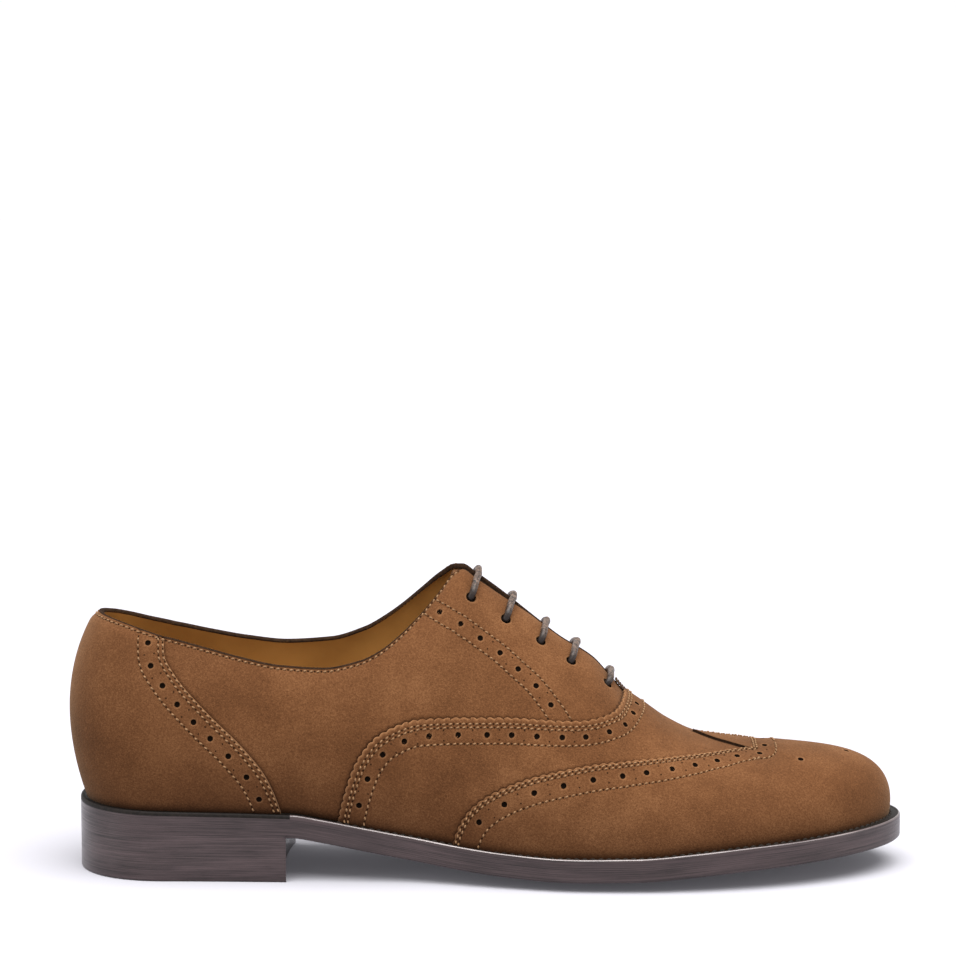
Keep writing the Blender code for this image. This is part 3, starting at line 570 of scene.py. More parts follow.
def find_on_wall(side, offset, x, other, axis):
    """Station and height where the offset wall has a given x and a given y (axis 1) or z (axis 2).

    It starts from the nearest of a coarse grid and takes Newton steps with measured slopes.
    """
    s_grid = np.linspace(0, TOE_STATION, SEARCH_STATIONS)[:, None]
    h_grid = np.linspace(0.01, 0.99, SEARCH_HEIGHTS)[None]
    grid = wall_offset(s_grid, h_grid, side, offset)
    gap = (grid[None, ..., 0] - x[:, None, None]) ** 2 + (grid[None, ..., axis] - other[:, None, None]) ** 2
    best = gap.reshape(len(x), -1).argmin(1)
    s, h = s_grid[best // SEARCH_HEIGHTS, 0], h_grid[0, best % SEARCH_HEIGHTS]
    for _ in range(SEARCH_STEPS):
        here = wall_offset(s, h, side, offset)
        ds = wall_offset(s + STATION_STEP, h, side, offset) - here
        dh = wall_offset(s, h + HEIGHT_STEP, side, offset) - here
        a, b = ds[:, 0] / STATION_STEP, dh[:, 0] / HEIGHT_STEP
        c, d = ds[:, axis] / STATION_STEP, dh[:, axis] / HEIGHT_STEP
        rx, ro = x - here[:, 0], other - here[:, axis]
        det = a * d - b * c
        det = np.where(np.abs(det) < MM, MM, det)
        s = np.clip(s + np.clip((d * rx - b * ro) / det, -4, 4), 0.5, TOE_STATION - 0.5)
        h = np.clip(h + np.clip((a * ro - c * rx) / det, -0.05, 0.05), 0.0, 0.995)
    return np.stack([s, h], -1)


def run_of(points):
    """Distance gone along a line of points."""
    return np.concatenate([[0], np.cumsum(np.linalg.norm(np.diff(points, axis=0), axis=1))])


def soft_path(points, count):
    """That many points on a smooth curve through the given ones, by the distance between them."""
    run = run_of(points)
    table = [(gone, *point) for gone, point in zip(run, points)]
    at = np.linspace(0, run[-1], count)
    return np.stack([smooth(at, table, k + 1) for k in range(len(points[0]))], -1)


def along_wall(side, line):
    """Points, normals and slopes of the wall along a line of stations and heights."""
    return wall_frame(line[:, 0], line[:, 1], side)


def wall_run(side, line):
    """Distance gone over the wall along a line of stations and heights."""
    return run_of(along_wall(side, line)[0])


def even_line(side, line, at=None):
    """The same line of stations and heights at equal distances along the wall, or at the distances given."""
    run = wall_run(side, line)
    keep = np.concatenate([[True], np.diff(run) > MM])
    run, line = run[keep], line[keep]
    if at is None:
        at = np.linspace(0, run[-1], max(int(run[-1] / LINE_SPACING), 2) + 1)
    return np.stack([np.interp(at, run, line[:, k]) for k in range(2)], -1)


def across_line(side, line, inward):
    """Points, direction along the line and direction into the panel, for a line on the wall."""
    point, normal, _, _ = along_wall(side, line)
    tangent = unit(np.gradient(point, axis=0))
    return point, tangent, unit(np.cross(normal, tangent) * (side * inward))


def walk(side, line, into, distance):
    """Stations and heights reached from a line by going a distance in the given directions over the wall."""
    steps = max(int(abs(distance) / WALK_STEP), 1)
    into = into * (distance / steps)
    walked = line.copy()
    for _ in range(steps):
        _, _, along, up = along_wall(side, walked)
        aa, uu, au = (along * along).sum(1), (up * up).sum(1), (along * up).sum(1)
        ra, ru = (along * into).sum(1), (up * into).sum(1)
        det = np.maximum(aa * uu - au * au, MM)
        walked[:, 0] = np.clip(walked[:, 0] + (uu * ra - au * ru) / det, 0, TOE_STATION)
        walked[:, 1] = np.clip(walked[:, 1] + (aa * ru - au * ra) / det, 0, 1)
    return walked


def beside(side, lines, name, distance):
    """Row at a distance from a panel's edge; the wing's goes round the valley and on across the toe."""
    line, inward = lines[side][name]
    into = across_line(side, line, inward)[2]
    walked = walk(side, line, into, distance)
    if name == "wing":
        bridge, bridge_in = lines[side]["bridge"]
        bridge_into = across_line(side, bridge, bridge_in)[2]
        turn = np.linspace(0, 1, 14)[1:-1, None]
        fan = unit(into[-3] * (1 - turn) + bridge_into[1] * turn)
        corner = walk(side, np.repeat(line[-1:], len(fan), 0), fan, distance)
        walked = np.concatenate([walked[:-2], corner, walk(side, bridge[1:], bridge_into[1:], distance)])
    inside = (walked[:, 1] > 0.001) & (walked[:, 1] < 0.998)
    return even_line(side, walked[inside])


def panel_lines(side):
    """Edge of each panel on one side as stations and heights, with the side of it that the panel lies on."""
    lines = {}
    for name, rows, offset, inward in (
        ("counter", COUNTER_LINE, FIRST_LAP, -1.0),
        ("vamp", VAMP_LINE, FIRST_LAP, 1.0),
        ("wing", WING_LINE, SECOND_LAP, 1.0),
        ("facing", FACING_LINE, 0.0, 1.0),
    ):
        length = run_of(np.array(rows))[-1]
        x, z = soft_path(np.array(rows), int(length / TABLE_SPACING) + 2).T
        line = find_on_wall(side, offset, x, z, 2)
        inside = (line[:, 1] > 0.0) & (line[:, 1] < 0.994)
        start = line[inside][:1] * (1, 0)
        line = np.concatenate([start, line[inside]]) if name != "facing" else line[inside]
        if name in ("counter", "vamp"):
            line = np.concatenate([line, [[line[-1, 0], 1.0]]])
        lines[name] = (even_line(side, line), inward)
    share = np.linspace(0, 1, 24)
    y = SPINE_Y + side * np.maximum(WING_VALLEY_HALF * (1 - share), 0.02)
    for name, ridge_x in (("peak", WING_PEAK_X), ("bridge", WING_VALLEY_X)):
        line = find_on_wall(side, SECOND_LAP, WING_VALLEY_X + (ridge_x - WING_VALLEY_X) * share, y, 1)
        lines[name] = (even_line(side, np.concatenate([line, [[ridge_station(ridge_x), 1.0]]])), 1.0)
    wing = lines["wing"][0]
    corner = lines["peak"][0][:1]
    apart = np.linalg.norm(wing - corner, axis=1) > CORNER_CLEAR
    lines["wing"] = (even_line(side, np.concatenate([wing[apart], corner])), 1.0)
    return lines


def skin_grid():
    """Grid of the whole wall, once round the shoe, joined along the ridge of the vamp and toe."""
    stations = stretches(
        (0, HEEL_SPAN, HEEL_COLUMNS + 1),
        (HEEL_SPAN, THROAT_STATION, SIDE_COLUMNS + 1),
        (THROAT_STATION, TOE_STATION, TOE_COLUMNS + 1),
    )
    heights = np.linspace(0, 1, SKIN_ROWS + 1)
    outer, inner = (wall_frame(stations[:, None], heights[None], side)[:2] for side in SIDES)
    point, normal = (once_round(*pair) for pair in zip(outer, inner))
    station = once_round(stations, stations)
    lateral = np.arange(len(station)) < len(stations)
    number = np.arange(point.shape[0] * point.shape[1]).reshape(point.shape[:2])
    on_ridge = np.flatnonzero(~lateral & (station >= THROAT_STATION))
    number[on_ridge, -1] = number[len(station) - on_ridge, -1]
    return {"point": point, "normal": normal, "station": station, "lateral": lateral, "number": number}


def nearest(points, line):
    """Distance from each point to the nearest point of a line, and that point's number, a chunk at a time."""
    points, line = points.astype(np.float32), line.astype(np.float32)
    distance = np.empty(len(points), np.float32)
    index = np.empty(len(points), np.int64)
    for start in range(0, len(points), SEARCH_CHUNK):
        part = slice(start, start + SEARCH_CHUNK)
        square = ((points[part, None] - line[None]) ** 2).sum(-1)
        index[part] = square.argmin(1)
        distance[part] = np.sqrt(square.min(1))
    return distance, index


def seam_field(skin, lines, name):
    """Signed distance of every skin point from a panel's edge, positive inside, and the run along it."""
    shape = skin["point"].shape[:2]
    distance, run, into = np.full(shape, -FAR), np.zeros(shape), np.zeros(shape + (3,))
    for side, mine in ((LATERAL, skin["lateral"]), (MEDIAL, ~skin["lateral"])):
        line, inward = lines[side][name]
        point, tangent, across = across_line(side, line, inward)
        here = skin["point"][mine].reshape(-1, 3)
        gap, index = nearest(here, point)
        offset = here - point[index]
        along = (offset * tangent[index]).sum(1).clip(-0.5, 0.5)
        sign = np.sign((offset * across[index]).sum(1))
        distance[mine] = (sign * np.sqrt(np.maximum(gap**2 - along**2, 0))).reshape(distance[mine].shape)
        run[mine] = (run_of(point)[index] + along).reshape(run[mine].shape)
        into[mine] = across[index].reshape(into[mine].shape)
    return distance, run, into


def new_piece(name, points, faces, materials, nodes=(), slot=None, floats=None, kinds=None, join=False):
    """Object from points in millimetres and an array of faces, riding on the shoe.

    Kinds gives each face's finish by its number; join makes points that share a place one, as at a pole.
    """
    mesh = bpy.data.meshes.new(name)
    points = (np.asarray(points, float) - FOOTPRINT_MIDDLE) * MM
    mesh.vertices.add(len(points))
    mesh.vertices.foreach_set("co", points.ravel().astype(np.float32))
    mesh.loops.add(faces.size)
    mesh.loops.foreach_set("vertex_index", faces.ravel().astype(np.int32))
    mesh.polygons.add(len(faces))
    mesh.polygons.foreach_set("loop_start", np.arange(0, faces.size, faces.shape[1], dtype=np.int32))
    mesh.update(calc_edges=True)
    for one in materials:
        mesh.materials.append(one)
    if kinds is not None:
        mesh.polygons.foreach_set("material_index", np.asarray(kinds, np.int32))
    for key, values in (floats or {}).items():
        mesh.attributes.new(key, "FLOAT", "POINT").data.foreach_set("value", values.astype(np.float32))
    if join:
        shape = bmesh.new()
        shape.from_mesh(mesh)
        bmesh.ops.remove_doubles(shape, verts=shape.verts, dist=JOIN)
        shape.to_mesh(mesh)
        shape.free()
    mesh.validate()
    mesh.shade_smooth()
    obj = in_scene(name, mesh)
    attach(obj, "root")
    if nodes:
        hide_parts(*nodes)
    return obj


def strip_quads(number, closed=False):
    """Four-sided faces of a grid of point numbers, going round along its first axis if closed."""
    if closed:
        number = np.concatenate([number, number[:1]])
    corners = (number[:-1, :-1], number[1:, :-1], number[1:, 1:], number[:-1, 1:])
    return np.stack([c.ravel() for c in corners], 1)


def grid_piece(name, points, materials, closed=False, flip=False, **more):
    """Piece from a grid of points, with the strip back to its first column if closed."""
    number = np.arange(points.shape[0] * points.shape[1]).reshape(points.shape[:2])
    faces = strip_quads(number, closed)
    return new_piece(name, points.reshape(-1, 3), faces[:, ::-1] if flip else faces, materials, **more)


def folds_relief(point):
    """Soft troughs and ridges: each a bell in its own two directions, in side view, on both sides."""
    relief = np.zeros(point.shape[:-1])
    for x, z, run_x, run_z, width, depth in FOLDS:
        length = math.hypot(run_x, run_z)
        dx, dz = point[..., 0] - x, point[..., 2] - z
        along = (dx * run_x + dz * run_z) / length
        across = (dz * run_x - dx * run_z) / length
        relief -= depth * np.exp(-((along / length) ** 2) - (across / width) ** 2)
    x, z = point[..., 0], point[..., 2]
    return relief + 0.05 * np.sin(x / 9.0 + z / 14.0) * np.sin(z / 11.0 - x / 23.0)


def row_relief(distance, rows):
    """Grooves that the stitch rows pull into the suede, bells about each row's distance from the edge."""
    return -sum(STITCH_GROOVE * np.exp(-(((distance - row) / STITCH_GROOVE_WIDTH) ** 2)) for row in rows)


def hole_gap(skin, centres, radius):
    """Distance of every skin point from the nearest hole's middle, far away if not near any."""
    gap = np.full(skin["point"].shape[:2], FAR)
    flat = skin["point"].reshape(-1, 3)
    low, high = centres.min(0) - 3 * radius, centres.max(0) + 3 * radius
    close = np.flatnonzero(((flat > low) & (flat < high)).all(1))
    gap.reshape(-1)[close] = nearest(flat[close], centres)[0]
    return gap


def pit(gap, radius, depth):
    """Round pit at a punched hole, falling smoothly from a little outside the hole's radius."""
    t = np.clip((gap - 0.75 * radius) / (0.5 * radius), 0, 1)
    return -depth * (1 - t * t * (3 - 2 * t))


def cut_panel(
    name, skin, offset, inside, into, relief, drop, under, thickness, materials, rim_kind=None, **more
):
    """Piece of the skin where inside is positive, its border drawn onto the edge and turned down as a rim.

    Faces wholly in drop are left out; lip and under say how near a point is to its own or a covering edge.
    Lip pales the suede, partly the cut edge's own colour and partly a painted highlight;
    under darkens it with painted shade.
    """
    flat = (skin["point"] + skin["normal"] * (offset + relief)[..., None]).reshape(-1, 3)
    normal, into = skin["normal"].reshape(-1, 3), into.reshape(-1, 3)
    inside_flat = inside.ravel()
    faces = strip_quads(skin["number"], closed=True)
    keep = (inside_flat[faces] > -SNAP).all(1) & ~drop.ravel()[faces].all(1)
    faces = faces[keep]
    ends = np.concatenate([faces[:, [a, (a + 1) % 4]] for a in range(4)])
    ends = ends[ends[:, 0] != ends[:, 1]]
    key = ends.min(1) * len(flat) + ends.max(1)
    _, back, count = np.unique(key, return_inverse=True, return_counts=True)
    border = ends[count[back] == 1]
    border = border[(np.abs(inside_flat[border]) < SNAP_MOST).all(1)]
    edge = np.unique(border)
    flat[edge] -= into[edge] * inside_flat[edge][:, None]
    used, faces = np.unique(faces, return_inverse=True)
    faces = faces.reshape(-1, 4)
    points = [flat[used]]
    # Lip: paler cut edge, partly its own colour and partly a painted highlight, with the painted highlight
    # rings round holes
    near_edge = np.exp(-((np.maximum(inside_flat[used], 0) / LIP_WIDTH) ** 2))
    lip = [np.maximum(near_edge, skin["burr"].ravel()[used])]
    # Under: painted shade beside covering edges and in the crease at the upper's foot
    under = [np.maximum(under, skin["feather"]).ravel()[used]]
    painted_low_shade = [skin["painted_low_shade"].ravel()[used]]
    stripes = [faces]
    kinds = [np.zeros(len(faces))]
    if thickness and len(border):
        place = np.searchsorted(edge, border)
        start = len(used)
        points += [flat[edge], flat[edge] - normal[edge] * thickness + into[edge] * RIM_TUCK]
        # The rim's top takes the lip's pale colour and painted highlight, its bottom painted shade
        lip += [np.ones(len(edge)), np.zeros(len(edge))]
        under += [np.zeros(len(edge)), np.ones(len(edge))]
        painted_low_shade += [skin["painted_low_shade"].ravel()[edge]] * 2
        a, b = place[:, 0] + start, place[:, 1] + start
        stripes.append(np.stack([b, a, a + len(edge), b + len(edge)], 1))
        kinds.append(np.zeros(len(a)) if rim_kind is None else rim_kind.ravel()[border[:, 0]])
    floats = {"lip": lip, "under": under, "painted_low_shade": painted_low_shade}
    floats = {key: np.concatenate(parts) for key, parts in floats.items()}
    return new_piece(
        name, np.concatenate(points), np.concatenate(stripes), materials,
        floats=floats, kinds=np.concatenate(kinds), **more,
    )


def discs(name, centres, normals, radius, cup, finish, **more):
    """Joined round cups, one at each centre: rings of (share of radius, height) about the normal."""
    sides, profile = cup
    helper = np.where(np.abs(normals[:, :1]) < 0.8, [[1.0, 0.0, 0.0]], [[0.0, 1.0, 0.0]])
    first = unit(np.cross(normals, helper))
    share, lift = np.array(profile).T
    ring = circle(first, np.cross(normals, first), sides)[:, None]
    reach = np.asarray(radius).reshape(-1, 1, 1, 1) * share[None, :, None, None]
    points = centres[:, None, None] + ring * reach + normals[:, None, None] * lift[None, :, None, None]
    rings = len(profile)
    number = np.arange(len(centres) * rings * sides).reshape(len(centres), rings, sides)
    after = np.roll(number, -1, axis=2)
    faces = np.stack([number[:, :-1], number[:, 1:], after[:, 1:], after[:, :-1]], -1).reshape(-1, 4)
    return new_piece(name, points.reshape(-1, 3), faces, [finish], join=True, **more)


def stitches(name, rows, length, radius, sink, finish, **more):
    """Joined short threads: each a small barrel along its row, arched, with its ends drawn into the suede."""
    centre, tangent, normal = (np.concatenate([row[k] for row in rows]) for k in range(3))
    along, girth, lift = np.array(STITCH_FORM).T
    lift = lift * radius - sink
    ring = circle(np.cross(normal, tangent), normal, STITCH_SIDES)[:, None]
    spine = centre[:, None] + tangent[:, None] * (along * length / 2)[:, None]
    spine = spine + normal[:, None] * lift[:, None]
    points = spine[:, :, None] + ring * (girth * radius)[:, None, None]
    number = np.arange(points.size // 3).reshape(points.shape[:3])
    after = np.roll(number, -1, axis=2)
    faces = np.stack([number[:, :-1], after[:, :-1], after[:, 1:], number[:, 1:]], -1).reshape(-1, 4)
    tips = [number[:, end][:, half] for end, halves in STITCH_TIPS for half in halves]
    return new_piece(name, points.reshape(-1, 3), np.concatenate([faces, *tips]), [finish], **more)


def stitch_places(side, line, lap):
    """Middle, direction and normal of each stitch along a row, and the needle holes between them.

    Stitches lie a little aslant across their row; lap gives the panel's height over the wall at each point.
    """
    run = wall_run(side, line)[-1]
    count = max(int(run / STITCH_PITCH), 2)
    at = (np.arange(count) + 0.5) * run / count
    fine = even_line(side, line, np.sort(np.concatenate([at - 0.3, at + 0.3])))
    point, normal, _, _ = along_wall(side, fine)
    point = point + normal * (lap(side, fine) + folds_relief(point))[:, None]
    middle = (point[::2] + point[1::2]) / 2
    tangent = unit(point[1::2] - point[::2])
    slant = math.radians(STITCH_SLANT)
    tangent = tangent * math.cos(slant) + np.cross(normal[::2], tangent) * math.sin(slant)
    holes = even_line(side, line, np.arange(count + 1) * run / count)
    hole_point, hole_normal, _, _ = along_wall(side, holes)
    height = lap(side, holes) + folds_relief(hole_point)
    return (middle, tangent, normal[::2]), (hole_point + hole_normal * height[:, None], hole_normal)


def thinned_lap(side, line):
    """Height of the counter over the wall, pared down to a tenth along the top line."""
    up = along_wall(side, line)[3]
    drop = (1 - line[:, 1]) * np.linalg.norm(up, axis=1)
    return FIRST_LAP * pared(drop)


def pared(drop):
    """Share of a panel's height that is left at a distance below the top line."""
    share = np.clip(drop / PARED_BAND, 0, 1)
    return 0.1 + 0.9 * share * share * (3 - 2 * share)


def level_lap(height):
    """Lap of one height all along a line."""
    return lambda side, line: np.full(len(line), height)


LAPS = {
    # height of each panel over the wall at points of a line
    "counter": thinned_lap,
    "vamp": level_lap(FIRST_LAP),
    "wing": level_lap(SECOND_LAP),
    "facing": level_lap(0.0),
}


def tube(path, radius, sides):
    """Grid of points round a smooth path, each ring square to the path."""
    tangent = unit(np.gradient(path, axis=0))
    first = unit(np.cross(tangent, [1.0, 0.0, 0.0]))
    ring = circle(first, np.cross(tangent, first), sides)
    return path[:, None] + ring * np.asarray(radius).reshape(-1, 1, 1)


def closing(count, radius):
    """Radius along a cord of count rings, nothing at its two ends so that they are closed."""
    rings = np.full(count, radius)
    rings[[0, -1]] = 0.0
    return rings


# Finishes


def shader(name, colour, roughness, **sockets):
    """New Principled finish with plain values set on its own sockets."""
    material = bpy.data.materials.new(name)
    material.use_nodes = True
    surface = material.node_tree.nodes["Principled BSDF"]
    surface.inputs["Base Color"].default_value = colour
    surface.inputs["Roughness"].default_value = roughness
    for socket, value in sockets.items():
        surface.inputs[socket.replace("_", " ")].default_value = value
    return material, material.node_tree, surface


def add(tree, kind, **values):
    """New node with its settings and input values."""
    node = tree.nodes.new(kind)
    for key, value in values.items():
        if hasattr(node, key):
            setattr(node, key, value)
        else:
            node.inputs[key.replace("_", " ")].default_value = value
    return node


def noise(tree, vector, scale, detail, rough=0.5):
    """Noise on the given coordinates."""
    node = add(tree, "ShaderNodeTexNoise", Scale=scale, Detail=detail, Roughness=rough)
    tree.links.new(vector, node.inputs["Vector"])
    return node.outputs["Fac"]


def ramp(tree, value, stops):
    """Colour ramp with (place, colour) stops."""
    node = tree.nodes.new("ShaderNodeValToRGB")
    while len(node.color_ramp.elements) < len(stops):
        node.color_ramp.elements.new(0.5)
    for element, (place, colour) in zip(node.color_ramp.elements, stops):
        element.position, element.color = place, colour
    tree.links.new(value, node.inputs["Fac"])
    return node.outputs["Color"]


def feed(tree, sockets, items):
    """Link each item to its socket, or set it there if it is a plain value."""
    for socket, item in zip(sockets, items):
        if isinstance(item, bpy.types.NodeSocket):
            tree.links.new(item, socket)
        else:
            socket.default_value = item


def blend(tree, value, first, second, kind="MIX"):
    """Mix of two colours by a value; each colour is a socket or a plain value."""
    node = tree.nodes.new("ShaderNodeMix")
    node.data_type, node.blend_type = "RGBA", kind
    feed(tree, (node.inputs[0], node.inputs[6], node.inputs[7]), (value, first, second))
    return node.outputs[2]


def math_node(tree, kind, first, second):
    """One sum on two values."""
    node = tree.nodes.new("ShaderNodeMath")
    node.operation = kind
    feed(tree, node.inputs, (first, second))
    return node.outputs[0]


def scaled(tree, value, weight):
    """A value times a weight."""
    return math_node(tree, "MULTIPLY", value, weight)


def attribute(tree, name):
    """Value that the mesh carries under a name."""
    return add(tree, "ShaderNodeAttribute", attribute_name=name).outputs["Fac"]


def bump(tree, surface, height, strength, distance, below=None):
    """Bump from a height, over another bump if given, linked to the surface's normal."""
    node = add(tree, "ShaderNodeBump", Strength=strength, Distance=distance)
    tree.links.new(height, node.inputs["Height"])
    if below:
        tree.links.new(below, node.inputs["Normal"])
    tree.links.new(node.outputs["Normal"], surface.inputs["Normal"])
    return node.outputs["Normal"]


def object_coordinates(tree):
    """The piece's own place in metres."""
    return tree.nodes.new("ShaderNodeTexCoord").outputs["Object"]


def suede_finish():
    """Brushed nap: faint clouds under a fine fibre grain, paler on cut lips, partly their own colour and
    partly a painted highlight, with painted highlight rings round the holes; painted shade under laps, in the
    crease at the upper's foot, low on the sides and round the seat.
    """
    material, tree, surface = shader(
        "brushed_suede", SUEDE_MID, 0.95,
        Sheen_Weight=0.13, Sheen_Roughness=0.4, Sheen_Tint=SUEDE_SHEEN, Specular_IOR_Level=0.04,
    )
    place = object_coordinates(tree)
    cloud = noise(tree, place, 26.0, 2.0)
    stroke = noise(tree, place, 110.0, 3.0, 0.6)
    nap = noise(tree, place, 1400.0, 2.0, 0.6)
    fibre = noise(tree, place, 2600.0, 2.0, 0.6)
    tone = scaled(tree, cloud, 0.68)
    for value, weight in ((stroke, 0.30), (nap, 0.62), (fibre, 0.66)):
        tone = math_node(tree, "ADD", tone, scaled(tree, value, weight))
    tone = scaled(tree, tone, 0.4425)
    colour = ramp(tree, tone, ((0.36, SUEDE_DARK), (0.50, SUEDE_MID), (0.64, SUEDE_LIGHT)))
    # Paler lips: the cut edge's colour and a painted highlight; then painted shade low down and under laps
    colour = blend(tree, scaled(tree, attribute(tree, "lip"), 0.8), colour, SUEDE_LIP)
    for name, weight, tint in (("painted_low_shade", 0.47, LOW_SHADE_TINT), ("under", 0.9, SHADE_TINT)):
        colour = blend(tree, scaled(tree, attribute(tree, name), weight), colour, tint, "MULTIPLY")
    tree.links.new(colour, surface.inputs["Base Color"])
    below = bump(tree, surface, nap, 0.35, 0.0004)
    bump(tree, surface, fibre, 0.5, 0.00022, below)
    return material


def grained_finish(name, base, roughness, shine, tint, stops, relief=None):
    """Leather or thread: a colour ramp over one noise, and a bump from a noise of its own if given."""
    material, tree, surface = shader(name, base, roughness, Specular_IOR_Level=shine)
    place = object_coordinates(tree)
    tree.links.new(ramp(tree, noise(tree, place, *tint), stops), surface.inputs["Base Color"])
    if relief:
        grain, strength, depth = relief
        bump(tree, surface, noise(tree, place, *grain), strength, depth)
    return material


def punch_finish(name, colour):
    """Bottom of a hole or needle hole: a dark colour that paints the shade in it, without any shine."""
    return shader(name, colour, 1.0, Specular_IOR_Level=0.0)[0]


def edge_finish(name, dark, pale, roughness, coat, fades):
    """Inked and polished leather edge: long level streaks and soft clouds that follow its run.

    Each fade turns the pale streaks up or down between two places along the shoe; on the welt's bevel the
    pale streaks are a painted highlight line, which the fades shape.
    """
    material, tree, surface = shader(
        name, dark, roughness, Specular_IOR_Level=0.32, Coat_Weight=coat, Coat_Roughness=0.12, Coat_IOR=1.4
    )
    run, rise = attribute(tree, "run"), attribute(tree, "rise")
    fields = []
    for along, across, scale in ((0.009, 1.1, 2.6), (0.020, 0.10, 1.6)):
        vector = tree.nodes.new("ShaderNodeCombineXYZ")
        feed(tree, vector.inputs, (scaled(tree, run, along), scaled(tree, rise, across)))
        fields.append(noise(tree, vector.outputs[0], scale, 5.0, 0.7))
    streak, cloud = fields
    tone = math_node(tree, "ADD", scaled(tree, streak, 0.7), scaled(tree, cloud, 0.3))
    for start, end, first, last in fades:
        axes = tree.nodes.new("ShaderNodeSeparateXYZ")
        tree.links.new(object_coordinates(tree), axes.inputs[0])
        kept = add(tree, "ShaderNodeMapRange", From_Min=start, From_Max=end, To_Min=first, To_Max=last)
        tree.links.new(axes.outputs[0], kept.inputs["Value"])
        tone = scaled(tree, tone, kept.outputs[0])
    tree.links.new(ramp(tree, tone, ((0.38, dark), (0.62, pale))), surface.inputs["Base Color"])
    rough = add(
        tree, "ShaderNodeMapRange", From_Min=0.35, From_Max=0.65,
        To_Min=roughness + 0.14, To_Max=roughness - 0.1,
    )
    tree.links.new(tone, rough.inputs["Value"])
    tree.links.new(rough.outputs[0], surface.inputs["Roughness"])
    bump(tree, surface, streak, 0.25, 0.0003)
    return material


def lace_finish():
    """Waxed round cord: dark and pale specks of the braid under a thin wax, with painted shade down in the
    eyelets.
    """
    material, tree, surface = shader("waxed_cord", LACE_DARK, 0.42, Specular_IOR_Level=0.28)
    speck = noise(tree, object_coordinates(tree), 950.0, 2.0, 0.7)
    colour = ramp(tree, speck, ((0.38, LACE_DARK), (0.64, LACE_PALE)))
    tree.links.new(blend(tree, attribute(tree, "light"), LACE_DARK, colour), surface.inputs["Base Color"])
    bump(tree, surface, speck, 0.5, 0.0003)
    return material


# Pieces


